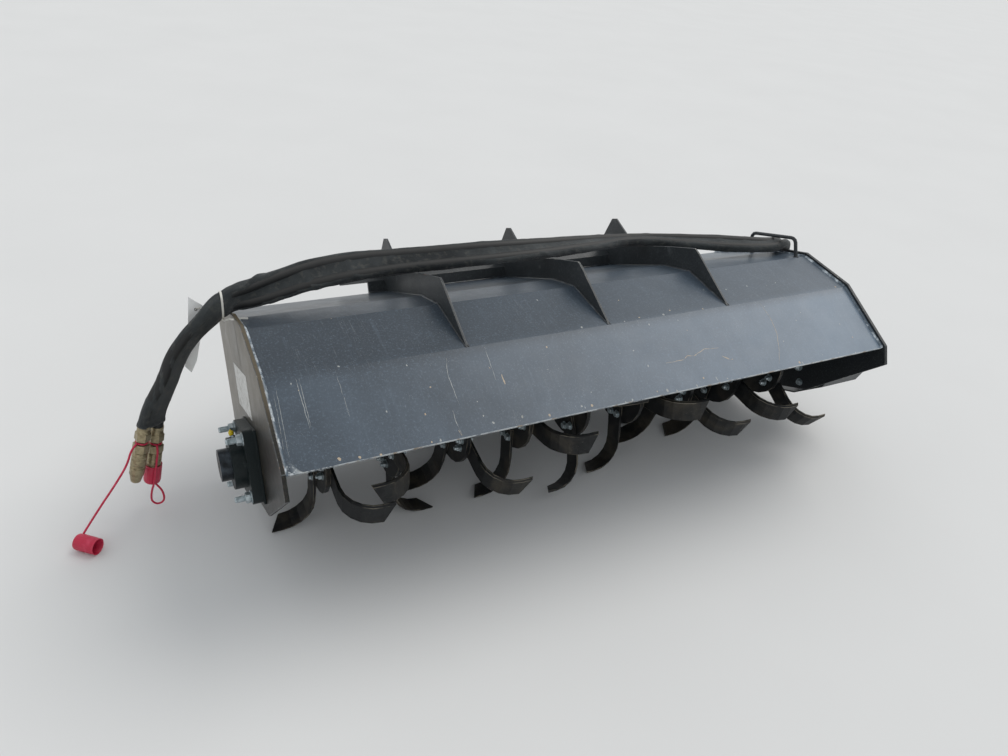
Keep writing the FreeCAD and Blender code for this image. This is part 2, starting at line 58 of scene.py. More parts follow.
# y and z of the hood's folds, from its low front edge to the back
HOOD = [(-294.5, 179.2), (-157.3, 364.0), (1.8, 462.7), (121.6, 480.3), (438.0, 480.3)]
RING_COUNT = 9
RING_PITCH = 193.0
RING_WELD_R = 51.0
FLANGE_T = 12.0
TINE_T = 8.0
TINE_W = 60.0
TIP_R = 274.0
REST_PHASE = -TILT_DEGREES - math.degrees(math.asin(TINE_W / 2 / TIP_R))
RING_PHASE = [REST_PHASE, 73.0, -38.0, -16.0, 8.0, -11.0, -35.0, REST_PHASE, -53.0]
TINE_BOLT = 12.0
TINE_BOLT_R = 90.0
TINE_BOLT_HALF_PITCH = 16.0
BEARING_FACE = -954.5     # x of the bearing flange's outer face
BEARING_STUD = 16.0
BEARING_STUD_OFF = 73.0
SHAFT_OUT = 84.5          # the shaft's end past the left plate's outer face
SCREWS_OUT = 78.0         # the insert's screws past it
MOTOR_BOLT = 14.0
MOTOR_BOLT_OFF = (60.0, 48.0)
MOTOR_FLANGE_T = 20.0
GUARD_BOLT = 12.0
GUARD_BOLTS = [(29.8, 23.5), (-62.0, 120.0), (10.0, 222.0), (105.0, 222.0)]
GUSSET_PITCH = 420.7
GUSSET_T = 6.0
MOUNT_HALF = 479.0
HOOP_IN = 36.5            # the hoop's plane from the right plate's inner face
HOOP_FEET = [(9.0, 463.8, 0.145), (208.0, 480.3, 0.0)]   # y, z and the sheet's rise there
HOSE_R = 15.0
HOSE_IN_NUT = 14.0
FABRIC = 1.4
STRAP_R = 2.8
NUT_LEN = 26.0
NECK_LEN = 10.0
HEX_LEN = 26.0
BARREL_LEN = 70.0
NOSE_LEN = 26.0
COUPLER_LEN = NUT_LEN + NECK_LEN + HEX_LEN + BARREL_LEN + NOSE_LEN
CAP_LEN = 60.0
CAP_FLOOR = 5.0
CAP_R = 21.9
SEAT = 0.3


def own(x, y, z):
    return PARK @ Vector((x, y, z))


def on_hood(i, x, up, lift=0.0):
    """Own point on the hood's flat number i, up from its lower edge, lifted off the sheet."""
    (y0, z0), (y1, z1) = HOOD[i], HOOD[i + 1]
    length = math.hypot(y1 - y0, z1 - z0)
    ry, rz = (y1 - y0) / length, (z1 - z0) / length
    return Vector((x, y0 + ry * up - rz * lift, z0 + rz * up + ry * lift))


def off_hood(i):
    """The way straight off the hood's flat number i."""
    return on_hood(i, 0.0, 0.0, 1.0) - on_hood(i, 0.0, 0.0)


def ring_middle(i):
    return Vector(((i - (RING_COUNT - 1) / 2) * RING_PITCH, AXIS_Y, AXIS_Z))


def clamp(value, low=0.0, high=1.0):
    return min(max(value, low), high)


def bell(value, width):
    """1 at 0, and close to 0 from twice the width on."""
    return math.exp(-(value / width) ** 2)


def lump(x, y, z):
    return noise.noise(Vector((x, y, z)))


def add_object(name, data):
    obj = bpy.data.objects.new(name, data)
    bpy.context.scene.collection.objects.link(obj)
    return obj


# materials

class Shade:
    """One material, with short calls for the nodes that this scene needs."""

    def __init__(self, name, rough=0.5, metal=0.0, coat=0.0, coat_rough=0.1, sheen=0.0, shine=0.5):
        self.mat = bpy.data.materials.new(name)
        self.mat.use_nodes = True
        self.tree = self.mat.node_tree
        self.bsdf = self.tree.nodes["Principled BSDF"]
        for socket, value in (("Roughness", rough), ("Metallic", metal), ("Sheen Weight", sheen),
                              ("Coat Weight", coat), ("Coat Roughness", coat_rough),
                              ("Specular IOR Level", shine)):
            self.to(socket, value)
        self.at = self.add("ShaderNodeTexCoord", {}).outputs["Object"]
        to_own = Matrix.Rotation(TILT, 3, "X") @ Vector(SHIFT) * -MM
        turn = {"Vector": self.at, "Rotation": (TILT, 0.0, 0.0), "Location": to_own}
        self.own = self.add("ShaderNodeMapping", turn).outputs["Vector"]

    def feed(self, socket, value):
        if isinstance(value, bpy.types.NodeSocket):
            self.tree.links.new(value, socket)
        else:
            socket.default_value = value

    def to(self, socket, value):
        self.feed(self.bsdf.inputs[socket], value)

    def add(self, kind, inputs):
        """New node, its inputs set or linked by name or number."""
        node = self.tree.nodes.new(kind)
        for key, value in inputs.items():
            self.feed(node.inputs[key], value)
        return node

    def math(self, kind, a, b):
        node = self.add("ShaderNodeMath", {0: a, 1: b})
        node.operation = kind
        return node.outputs[0]

    def times(self, a, b):
        return self.math("MULTIPLY", a, b)

    def inverse(self, a):
        return self.math("SUBTRACT", 1.0, a)

    def scaled(self, factors, turned=False):
        node = self.add("ShaderNodeVectorMath", {0: self.own if turned else self.at, 1: factors})
        node.operation = "MULTIPLY"
        return node.outputs["Vector"]

    def along(self, direction, offset=0.0):
        """Own coordinate along a direction, in metres, minus offset."""
        node = self.add("ShaderNodeVectorMath", {0: self.own, 1: direction})
        node.operation = "DOT_PRODUCT"
        return self.math("SUBTRACT", node.outputs["Value"], offset)

    def noise(self, scale, detail=4.0, rough=0.55, at=None, warp=0.0):
        inputs = {"Vector": at or self.at, "Scale": scale, "Detail": detail, "Roughness": rough,
                  "Distortion": warp}
        return self.add("ShaderNodeTexNoise", inputs).outputs["Fac"]

    def cells(self, scale):
        return self.add("ShaderNodeTexVoronoi", {"Vector": self.at, "Scale": scale}).outputs["Distance"]

    def wave(self, scale, at, warp=0.0, bands="X"):
        inputs = {"Vector": at, "Scale": scale, "Distortion": warp, "Detail Scale": 2.0}
        node = self.add("ShaderNodeTexWave", inputs)
        node.bands_direction = bands
        return node.outputs["Fac"]

    def step(self, value, low, high):
        """0 below low, 1 above high, smooth between them."""
        node = self.add("ShaderNodeMapRange", {"Value": value, "From Min": low, "From Max": high})
        node.interpolation_type = "SMOOTHSTEP"
        return node.outputs["Result"]

    def span(self, value, low, high):
        """0 to 1 becomes low to high."""
        inputs = {"Value": value, "To Min": low, "To Max": high}
        return self.add("ShaderNodeMapRange", inputs).outputs["Result"]

    def patches(self, scale, detail, low, high, **more):
        """Noise as patches: 0 below low, 1 above high."""
        return self.step(self.noise(scale, detail, **more), low, high)

    def blend(self, share, a, b):
        """Mix of two colours or colour sockets."""
        node = self.tree.nodes.new("ShaderNodeMix")
        node.data_type = "RGBA"
        for number, value in ((0, share), (6, a), (7, b)):
            self.feed(node.inputs[number], value)
        return node.outputs[2]

    def stain(self, tint, over, share, scale, detail, low, high, **more):
        """Patches of a second colour over a tint, at a share of their full strength."""
        return self.blend(self.times(self.patches(scale, detail, low, high, **more), share), tint, over)

    def bump(self, height, distance, strength, under=None):
        inputs = {"Height": height, "Distance": distance, "Strength": strength}
        if under is not None:
            inputs["Normal"] = under
        return self.add("ShaderNodeBump", inputs).outputs["Normal"]

    def surface(self, tint, scale, detail, distance, strength, rough=0.55):
        """Sets the colour and a fine bump of noise, and gives the material."""
        self.to("Base Color", tint)
        self.to("Normal", self.bump(self.noise(scale, detail, rough), distance, strength))
        return self.mat


def colour(r, g, b):
    """Linear colour from 0 to 255 display values."""
    out = []
    for v in (r, g, b):
        c = v / 255
        out.append(c / 12.92 if c <= 0.04045 else ((c + 0.055) / 1.055) ** 2.4)
    return (*out, 1.0)


def paint(name, base, dust, film_share, painted_ramp=None, fade_above=None, gloss=0.36, speckles=0.2,
          shine=0.25, lines=0.2):
    """Paint under thin dust, with fine specks, and rub marks and streaks down the slope.

    painted_ramp is a direction, the two places along it where more of the dust colour starts and is full,
    and its share; it is painted light, a paler band that stands in for reflection.
    fade_above is a height, and the share of the film that is gone above it, which paints that part darker.
    """
    m = Shade(name, rough=gloss, coat=0.12, coat_rough=0.2, shine=shine)
    cloud = m.patches(2.6, 9.0, 0.3, 0.72, rough=0.68, warp=0.5)
    film = m.span(cloud, film_share * 0.7, film_share * 1.25)
    if painted_ramp is not None:
        direction, low, high, extra = painted_ramp
        film = m.math("ADD", film, m.times(m.step(m.along(direction), low, high), extra))
    if fade_above is not None:
        height, share = fade_above
        above = m.step(m.along((0.0, 0.0, 1.0)), height - 0.03, height + 0.012)
        film = m.times(film, m.inverse(m.times(above, share)))
    # the film is dust, and where the dust colour is a pale blue-grey, as on the hood, it is also a painted
    # sky reflection
    tint = m.blend(film, base, dust)
    tint = m.stain(tint, dust, 0.3, 190.0, 8.0, 0.5, 0.72, rough=0.78)
    dots = m.times(m.inverse(m.step(m.cells(300.0), 0.06, 0.17)),
                   m.patches(14.0, 5.0, 0.52, 0.66, rough=0.7))
    tint = m.blend(m.times(dots, speckles), tint, colour(206, 210, 210))
    streaks = m.times(m.patches(1.0, 4.0, 0.6, 0.72, rough=0.6,
                                at=m.scaled((420.0, 12.0, 12.0), turned=True)),
                      m.patches(6.0, 3.0, 0.44, 0.62))
    tint = m.blend(m.times(streaks, lines), tint, colour(176, 180, 180))
    tint = m.stain(tint, dust, lines * 0.5, 1.0, 5.0, 0.55, 0.75, rough=0.65,
                   at=m.scaled((70.0, 6.0, 6.0), turned=True))
    m.to("Base Color", tint)
    m.to("Roughness", m.span(m.noise(17.0, 6.0, 0.65), gloss * 0.75, gloss * 1.4))
    waves = m.bump(m.noise(2.2, 2.0), 0.003, 0.4)
    m.to("Normal", m.bump(m.noise(420.0, 3.0, 0.6), 0.0002, 0.4, waves))
    return m


def hood_paint():
    """The hood's paint, with a thin bright line along its low edge and chips round the left corner."""
    # painted reflection: the pale blue-grey film is dust and a painted sky reflection, and its big patches
    # are painted cloud reflections; the ramp makes it paler towards the right, and above the first fold
    # the film thins, which paints the flats above it darker
    m = paint("hood_paint", colour(24, 31, 38), colour(138, 157, 176), 0.18,
              painted_ramp=((1.0, 0.0, 0.0), -0.75, 0.9, 0.34), fade_above=(0.366, 0.55),
              speckles=0.75, shine=0.35, lines=0.14)
    painted = m.bsdf.inputs["Base Color"].links[0].from_socket
    (y0, z0), (y1, z1) = HOOD[0], HOOD[1]
    run = Vector((0.0, y1 - y0, z1 - z0)).normalized()
    up = m.along(run, run.dot(Vector((0.0, y0, z0))) * MM)
    left = m.inverse(m.step(m.along((1.0, 0.0, 0.0)), -0.905, -0.875))
    reach = m.span(left, 0.0022, 0.034)
    near = m.inverse(m.step(m.math("DIVIDE", up, reach), 0.35, 1.0))
    ragged = m.math("MAXIMUM", m.patches(120.0, 6.0, 0.5, 0.56, rough=0.75),
                    m.times(m.inverse(left), m.patches(18.0, 3.0, 0.34, 0.5)))
    bare = m.blend(m.patches(31.0, 3.0, 0.52, 0.62), colour(186, 192, 194), colour(140, 124, 102))
    m.to("Base Color", m.blend(m.times(m.times(near, ragged), 0.85), painted, bare))
    return m.mat


def dark_paint(name, base, share):
    return paint(name, base, DUST, share, gloss=0.4).mat


def worn_edge():
    """Paint rubbed thin along an edge, with bare and rusty spots."""
    m = Shade("worn_edge", rough=0.42, coat=0.2, coat_rough=0.25)
    bare = m.blend(m.patches(23.0, 4.0, 0.52, 0.66), colour(158, 156, 148), colour(128, 92, 62))
    tint = m.blend(m.patches(42.0, 6.0, 0.52, 0.68, rough=0.7), colour(64, 68, 70), bare)
    return m.surface(tint, 300.0, 4.0, 0.0004, 0.6)


def tine_metal():
    """Dark forged steel with brown dirt."""
    m = Shade("tine_metal", rough=0.5, metal=0.1, shine=0.3)
    scale = m.noise(26.0, 6.0, 0.65)
    tint = m.blend(m.step(scale, 0.35, 0.7), colour(10, 13, 16), colour(29, 31, 32))
    tint = m.stain(tint, colour(92, 84, 70), 0.4, 7.0, 5.0, 0.46, 0.7, rough=0.6, warp=0.6)
    tint = m.stain(tint, colour(128, 126, 118), 0.2, 1.0, 3.0, 0.6, 0.75, rough=0.5,
                   at=m.scaled((30.0, 400.0, 400.0)))
    m.to("Roughness", m.span(scale, 0.38, 0.66))
    return m.surface(tint, 160.0, 6.0, 0.0008, 0.5, rough=0.65)


def bright_edge():
    """Steel rubbed bright on the tines' edges."""
    m = Shade("bright_edge", rough=0.4, metal=0.6)
    tint = m.blend(m.patches(21.0, 5.0, 0.4, 0.62), colour(24, 25, 26), colour(124, 118, 106))
    return m.surface(tint, 500.0, 2.0, 0.0002, 0.5)


def casting_green():
    """Dark green paint on a rough casting."""
    m = Shade("casting_green", rough=0.45, coat=0.08, coat_rough=0.2, shine=0.25)
    tint = m.blend(m.noise(9.0, 5.0), colour(8, 20, 21), colour(17, 30, 32))
    tint = m.stain(tint, DUST, 0.25, 30.0, 5.0, 0.6, 0.78, rough=0.7)
    return m.surface(tint, 230.0, 4.0, 0.0012, 0.7, rough=0.6)


def turned_steel(name, light, dark, rough):
    """Machined steel with faint turning marks about X."""
    m = Shade(name, rough=rough, metal=0.7, shine=0.4)
    m.to("Base Color", m.blend(m.patches(34.0, 5.0, 0.38, 0.7), light, dark))
    marks = m.wave(240.0, m.scaled((1.0, 0.02, 0.02), turned=True), 0.6)
    m.to("Normal", m.bump(marks, 0.00012, 0.5))
    return m.mat


def zinc(name, light, dark, grime):
    """Passivated zinc plating, mottled, with grime."""
    m = Shade(name, rough=0.32, metal=0.8)
    tint = m.blend(m.patches(90.0, 5.0, 0.3, 0.8), light, dark)
    tint = m.stain(tint, colour(60, 54, 44), grime, 260.0, 5.0, 0.5, 0.75, rough=0.7)
    m.to("Roughness", m.span(m.noise(80.0, 4.0), 0.24, 0.5))
    return m.surface(tint, 700.0, 3.0, 0.0002, 0.5)


def plastic(name, base, pale, rough=0.42):
    m = Shade(name, rough=rough)
    tint = m.blend(m.patches(38.0, 5.0, 0.45, 0.8), base, pale)
    return m.surface(tint, 600.0, 2.0, 0.0002, 0.5)


def rubber():
    m = Shade("hose_rubber", rough=0.6)
    tint = m.blend(m.noise(30.0, 5.0), colour(16, 17, 18), colour(34, 35, 35))
    return m.surface(tint, 900.0, 2.0, 0.0003, 0.6)


def sleeve_cloth():
    """Tight black nylon weave with dust caught on its folds."""
    m = Shade("sleeve_cloth", rough=0.75, sheen=0.14, shine=0.25)
    m.to("Sheen Roughness", 0.45)
    tint = m.blend(m.patches(5.0, 5.0, 0.3, 0.75, rough=0.6), colour(22, 26, 29), colour(66, 70, 71))
    m.to("Base Color", m.stain(tint, colour(92, 90, 84), 0.35, 60.0, 4.0, 0.5, 0.7, rough=0.6))
    threads = m.add("ShaderNodeUVMap", {}).outputs["UV"]
    weave = m.math("ADD", m.wave(1.0, threads), m.wave(1.0, threads, bands="Y"))
    m.to("Normal", m.bump(weave, 0.0005, 0.5, m.bump(m.noise(90.0, 4.0), 0.0015, 0.35)))
    return m.mat


def card(name, base, dirt):
    m = Shade(name, rough=0.5)
    tint = m.stain(base, dirt, 0.5, 24.0, 5.0, 0.48, 0.72, rough=0.65)
    return m.surface(tint, 120.0, 3.0, 0.0004, 0.4)


def scuffed_film():
    """Faded film, rubbed through in slanting streaks."""
    m = Shade("label_film", rough=0.35, coat=0.2)
    rubs = m.patches(1.0, 6.0, 0.4, 0.66, rough=0.7, warp=0.4, at=m.scaled((60.0, 40.0, 230.0)))
    tint = m.blend(rubs, colour(198, 199, 196), colour(146, 143, 134))
    tint = m.stain(tint, colour(92, 88, 78), 0.5, 34.0, 5.0, 0.5, 0.7)
    return m.surface(tint, 120.0, 3.0, 0.0004, 0.4)


# The second colour mixes in as patches; on the plate welds, the patches and the lighter base are a painted
# highlight.
def weld_metal(name, base, rubbed):
    m = Shade(name, rough=0.36, coat=0.2, coat_rough=0.15)
    return m.surface(m.blend(m.patches(50.0, 5.0, 0.46, 0.7), base, rubbed), 260.0, 4.0, 0.0008, 0.6)


DUST = colour(126, 132, 134)
# earth colour: a little dust, and on the left end plate's upper part mostly a painted reflection
EARTH_AND_REFLECTION = colour(120, 108, 86)
HOOD_PAINT = hood_paint()
# painted light on the left end plate: its paler upper part is a painted reflection, and the dark part
# below a soft slanting line is a painted shade, with a little real dust
PLATE_PAINT = paint("plate_paint", colour(8, 12, 15), EARTH_AND_REFLECTION, 0.05,
                    painted_ramp=((0.0, 0.2, 0.98), 0.2, 0.31, 0.42), speckles=0.15).mat
DARK_PAINT = dark_paint("dark_paint", colour(14, 18, 23), 0.13)
# painted shade: a darker copy of the dark paint for the right end plate, whose inner face lies in shade
SHADED_PLATE_PAINT = dark_paint("shaded_plate_paint", colour(7, 11, 16), 0.06)
EDGE = worn_edge()
TINE = tine_metal()
BRIGHT = bright_edge()
GREEN = casting_green()
INSERT = turned_steel("insert_steel", colour(66, 73, 80), colour(34, 37, 40), 0.3)
SHAFT = turned_steel("shaft_steel", colour(66, 66, 64), colour(32, 30, 28), 0.42)
ZINC_BLUE = zinc("zinc_blue", colour(196, 206, 210), colour(132, 146, 150), 0.4)
ZINC_SAND = zinc("zinc_sand", colour(172, 160, 130), colour(128, 116, 90), 0.5)
RED = plastic("red_plastic", colour(184, 26, 62), colour(206, 66, 96))
YELLOW = plastic("yellow_plastic", colour(214, 186, 18), colour(170, 146, 30))
RUBBER = rubber()
CLOTH = sleeve_cloth()
TIE_WHITE = plastic("tie_nylon", colour(214, 212, 204), colour(184, 180, 168), 0.35)
LABEL_MAT = scuffed_film()
TAG_MAT = card("tag_card", colour(246, 246, 244), colour(214, 212, 206))
# painted highlight: the plate welds' blue-grey and pale patches stand in for light on the painted beads
WELD = weld_metal("weld_paint", colour(78, 92, 104), colour(196, 204, 210))
DARK_WELD = weld_metal("weld_dark", colour(24, 30, 36), colour(66, 74, 80))
SCRATCH = card("scratch_bare", colour(154, 157, 156), colour(116, 114, 107))
RUST = card("scratch_rust", colour(172, 156, 134), colour(140, 104, 74))


# mesh pieces

def piece(name, bm, materials, body="frame", smooth=40.0, matrix=PARK):
    """Object from a bmesh, by default in the own frame, riding on a body."""
    bmesh.ops.recalc_face_normals(bm, faces=bm.faces)
    mesh = bpy.data.meshes.new(name)
    bm.to_mesh(mesh)
    bm.free()
    mesh.transform(matrix)
    for material in materials if isinstance(materials, list) else [materials]:
        mesh.materials.append(material)
    for p in mesh.polygons:
        p.use_smooth = True
    mesh.set_sharp_from_angle(angle=math.radians(smooth))
    obj = add_object(name, mesh)
    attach(obj, body)
    return obj


def square_to(vector, way):
    """Unit vector, the part of a vector that is square to a unit way."""
    return (vector - way * vector.dot(way)).normalized()


def axes(origin, along, toward=None):
    """Matrix with its Z along a direction, at origin."""
    z = Vector(along).normalized()
    x = square_to(Vector(toward) if toward is not None else z.orthogonal(), z)
    rows = Matrix((x, z.cross(x), z)).transposed().to_4x4()
    return Matrix.Translation(Vector(origin)) @ rows


def circle(bm, at, radii, height):
    """Vertices round the matrix's Z, one for each radius."""
    out = []
    for k, r in enumerate(radii):
        a = 2 * math.pi * k / len(radii)
        out.append(bm.verts.new(at @ Vector((r * math.cos(a), r * math.sin(a), height))))
    return out


def skin(bm, rings, closed=False, caps=True, index=0):
    """Quads between rings of vertices, joined into a loop or capped at both ends."""
    count = len(rings[0])
    pairs = list(zip(rings, rings[1:]))
    if closed:
        pairs.append((rings[-1], rings[0]))
    for lower, upper in pairs:
        for k in range(count):
            n = (k + 1) % count
            bm.faces.new((lower[k], lower[n], upper[n], upper[k])).material_index = index
    if caps and not closed:
        bm.faces.new(rings[0][::-1]).material_index = index
        bm.faces.new(rings[-1]).material_index = index


def lathe(bm, at, profile, sides=32):
    """Closed body of revolution about the matrix's Z from (radius, height) pairs."""
    skin(bm, [circle(bm, at, [r] * sides, h) for r, h in profile])


def hex_body(bm, at, flat, low, high, chamfer=1.6):
    """Six-sided nut or bolt head with its corners turned off."""
    whole = [flat / math.sqrt(3.0), flat / 2] * 6
    turned = [flat / 2 * 0.96] * 12
    skin(bm, [circle(bm, at, turned, low), circle(bm, at, whole, low + chamfer),
              circle(bm, at, whole, high - chamfer), circle(bm, at, turned, high)])


def bolt(bm, at, size, nut=False, stud=0.0):
    """Washer, head or nut and thread end, standing up from the matrix's origin."""
    lathe(bm, at, [(size * 1.05, 0.0), (size * 1.05, size * 0.16)], 24)
    hex_body(bm, at, size * 1.5, size * 0.16, size * (0.98 if nut else 0.8), size * 0.1)
    if stud:
        thread(bm, at, size / 2, size * 0.9, stud)


def thread(bm, at, radius, low, high):
    """Threaded rod end: rings of crest and root, with a chamfered tip."""
    pitch = max(radius * 0.25, 1.2)
    profile = [(radius, low)]
    h = low
    while h + pitch < high - radius * 0.2:
        profile.append((radius * 0.9, h + pitch * 0.5))
        profile.append((radius, h + pitch))
        h += pitch
    profile.append((radius * 0.8, high))
    lathe(bm, at, profile, 16)


def box_body(bm, at, xs, ys, zs):
    """Box between two bounds on each axis."""
    rings = []
    for z in zs:
        rings.append([bm.verts.new(at @ Vector((xs[i], ys[j], z)))
                      for i, j in ((0, 0), (1, 0), (1, 1), (0, 1))])
    skin(bm, rings)


def spaced(points, step):
    """Points every step along a polyline, with its ends."""
    out = [points[0].copy()]
    carried = 0.0
    for a, b in zip(points, points[1:]):
        length = (b - a).length
        at = step - carried
        while at < length:
            out.append(a.lerp(b, at / length))
            at += step
        carried = (carried + length) % step
    out.append(points[-1].copy())
    return out


def ways(points, closed=False):
    """Direction of a polyline at each of its points."""
    count = len(points)
    out = []
    for i in range(count):
        a = points[i - 1] if closed else points[max(i - 1, 0)]
        b = points[(i + 1) % count] if closed else points[min(i + 1, count - 1)]
        out.append((b - a).normalized())
    return out


def loop_points(middle, u, v, count):
    """Closed loop of points round a middle, from its half axes u and v."""
    turns = [2 * math.pi * k / count for k in range(count + 1)]
    return [Vector(middle) + Vector(u) * math.cos(a) + Vector(v) * math.sin(a) for a in turns]


def bead(bm, points, outward, size, step=5.0, seed=0.0):
    """Weld bead with ripples along own points, on the side that outward names."""
    spots = spaced([Vector(p) for p in points], step)
    rings = []
    for i, (p, way) in enumerate(zip(spots, ways(spots))):
        up = square_to(Vector(outward), way)
        side = way.cross(up)
        r = size * (1.0 + 0.14 * (i % 2) + 0.16 * lump(i * 0.37, seed, 0.5))
        if i in (0, len(spots) - 1):
            r *= 0.6
        ring = []
        for k in range(8):
            t = 2 * math.pi * k / 8
            ring.append(bm.verts.new(p + side * (r * math.cos(t)) + up * (r * 0.75 * math.sin(t))))
        rings.append(ring)
    skin(bm, rings)


# cords

# columns: x, y and z of the front hose, x, y and z of the rear hose; own frame
HOSE_ON_HOOD = [
    (985.0, 205.0, 215.0, 1035.0, 205.0, 215.0),
    (985.0, 205.0, 300.0, 1035.0, 205.0, 300.0),
    (992.0, 198.0, 385.0, 1038.0, 211.0, 378.0),
    (985.0, 168.0, 452.0, 1022.0, 205.0, 456.0),
    (955.0, 122.0, 503.0, 973.0, 170.0, 507.0),
    (902.0, 80.0, 510.5, 905.0, 122.0, 517.0),
    (840.0, 64.0, 500.0, 840.0, 99.0, 519.0),
    (760.0, 82.0, 505.5, 760.0, 120.0, 530.0),
    (670.0, 121.0, 517.0, 670.0, 160.0, 543.0),
    (540.0, 180.0, 540.0, 540.0, 215.0, 560.0),
    (400.0, 232.0, 565.0, 400.0, 270.0, 574.0),
    (220.0, 196.0, 562.0, 220.0, 231.0, 582.0),
    (0.0, 143.0, 558.5, 0.0, 176.0, 588.0),
    (-210.0, 128.0, 559.0, -210.0, 153.0, 595.0),
    (-420.0, 148.0, 559.5, -420.0, 176.0, 596.0),
    (-590.0, 158.0, 555.0, -590.0, 184.0, 600.0),
    (-710.0, 163.0, 543.0, -710.0, 177.0, 590.0),
    (-805.0, 163.0, 524.0, -805.0, 160.0, 569.0),
    (-868.0, 156.0, 514.0, -868.0, 143.0, 554.0),
    (-908.0, 151.5, 515.5, -920.0, 130.0, 543.0),
]
# the same columns in the parked frame, millimetres
HOSE_FREE = [
    (-978.0, 119.5, 594.5, -1003.0, 106.0, 620.0),
    (-1004.0, 116.0, 577.0, -1028.0, 99.0, 593.0),
    (-1071.0, 120.0, 510.0, -1073.0, 95.0, 550.0),
    (-1101.0, 123.0, 452.0, -1116.0, 93.0, 495.0),
    (-1131.0, 124.0, 382.0, -1141.0, 92.0, 430.0),
    (-1165.0, 121.0, 313.0, -1189.0, 92.0, 353.0),
    (-1177.0, 122.0, 254.0, -1207.0, 92.0, 285.0),
]
STRAP_REAR = [(-1226.4, 82.8, 258.1), (-1242.4, 72.4, 249.9), (-1257.0, 64.0, 211.4),
              (-1295.8, 52.0, 160.0), (-1339.9, 46.0, 103.1), (-1387.8, 41.1, 34.5)]
STRAP_FRONT = [(-1181.8, 107.6, 223.1), (-1181.7, 91.8, 215.9), (-1189.5, 94.9, 178.5),
               (-1203.5, 96.1, 109.9), (-1214.0, 99.0, 81.9), (-1220.0, 102.0, 48.0),
               (-1215.5, 104.0, 32.9), (-1206.5, 105.0, 24.2), (-1194.0, 106.0, 25.5),
               (-1186.9, 107.5, 36.0), (-1188.0, 112.0, 60.0), (-1199.5, 120.0, 80.0),
               (-1209.8, 124.7, 92.8)]
CAP_GROUND = (-1359.0, -8.0)    # the loose cap's mouth, and the place behind it that it points to
CAP_BACK = (-1408.0, 33.0)
THIN = 0.01                     # control points' radius, which a cord's bounding box adds in metres

# the sleeve, metres
SLEEVE_STEP = 0.006
SLEEVE_SIDES = 44
SLEEVE_FROM = 0.105             # bare hose at the motor
SLEEVE_SHORT = 0.03             # the sleeve's end, back from the rear hose's end in its nut
FLARE_RUN = 0.085               # it opens a little over its last stretch
HEM = 0.068                     # the cuff's seam, back from the sleeve's end
HEM_BAND = 0.012                # doubled cloth at the very end
THREADS = (1.6, 2.4)            # waves of the weave for each side and each step

TIE_X = -0.983                  # the tie's place along the sleeve, parked frame, metres
TIE_HOLE = (92.0, 481.1)        # y and z of the hole in the left plate's edge, own frame
TIE_TAIL = [(-931.0, 20.0, 1.0), (-928.0, 5.0, 0.0), (-923.0, 0.0, 0.0),
            (-905.0, -1.0, 0.5), (-892.0, -9.0, -1.0)]    # x, and y and z from the hole
# x and z of the tag's edge, parked frame
TAG_EDGE = [(-1054.8, 628.5), (-1022.2, 598.3), (-1032.0, 545.0), (-1042.9, 490.0), (-1054.4, 441.0),
            (-1070.6, 406.7), (-1084.0, 428.0), (-1072.0, 500.0), (-1062.6, 560.2)]
TAG_Y = 139.6
TAG_T = 0.7
TAG_BOW = 0.000135
TAG_EYE = (-1041.1, 591.7)


def route(name, points, radius, material):
    """Smooth cord along route points, in metres."""
    data = bpy.data.curves.new(name, "CURVE")
    data.dimensions = "3D"
    data.resolution_u = 10
    data.bevel_depth = radius / THIN
    data.bevel_resolution = 5
    data.use_fill_caps = True
    spline = data.splines.new("NURBS")
    spline.points.add(len(points) - 1)
    for control, p in zip(spline.points, points):
        control.co = (*p, 1.0)
        control.radius = THIN
    spline.order_u = 3
    spline.use_endpoint_u = True
    data.materials.append(material)
    obj = add_object(name, data)
    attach(obj, "frame")
    return obj


def centre_line(obj):
    """Points of a cord's own line."""
    depth = obj.data.bevel_depth
    obj.data.bevel_depth = 0.0
    obj.data.use_fill_caps = False
    bpy.context.view_layer.update()
    mesh = bpy.data.meshes.new_from_object(obj)
    points = [v.co.copy() for v in mesh.vertices]
    bpy.data.meshes.remove(mesh)
    obj.data.bevel_depth = depth
    obj.data.use_fill_caps = True
    return points


def length_of(points):
    return sum((b - a).length for a, b in zip(points, points[1:]))


def even(points, count):
    """That many points evenly spaced along a polyline."""
    total = length_of(points)
    out = []
    k = 0
    passed = 0.0
    for i in range(count):
        want = total * i / (count - 1)
        while k < len(points) - 2 and passed + (points[k + 1] - points[k]).length < want:
            passed += (points[k + 1] - points[k]).length
            k += 1
        run = points[k + 1] - points[k]
        out.append(points[k] + run * clamp((want - passed) / run.length))
    return out


def nearest(line, p):
    """Point of a polyline nearest to p."""
    spots = []
    for a, b in zip(line, line[1:]):
        run = b - a
        spots.append(a + run * clamp((p - a).dot(run) / run.length_squared))
    return min(spots, key=lambda q: (p - q).length_squared)


def hose_points(k):
    """Route of the front hose, 0, or the rear hose, 1, in metres."""
    columns = slice(3 * k, 3 * k + 3)
    points = [own(*row[columns]) for row in HOSE_ON_HOOD]
    return points + [Vector(row[columns]) * MM for row in HOSE_FREE]


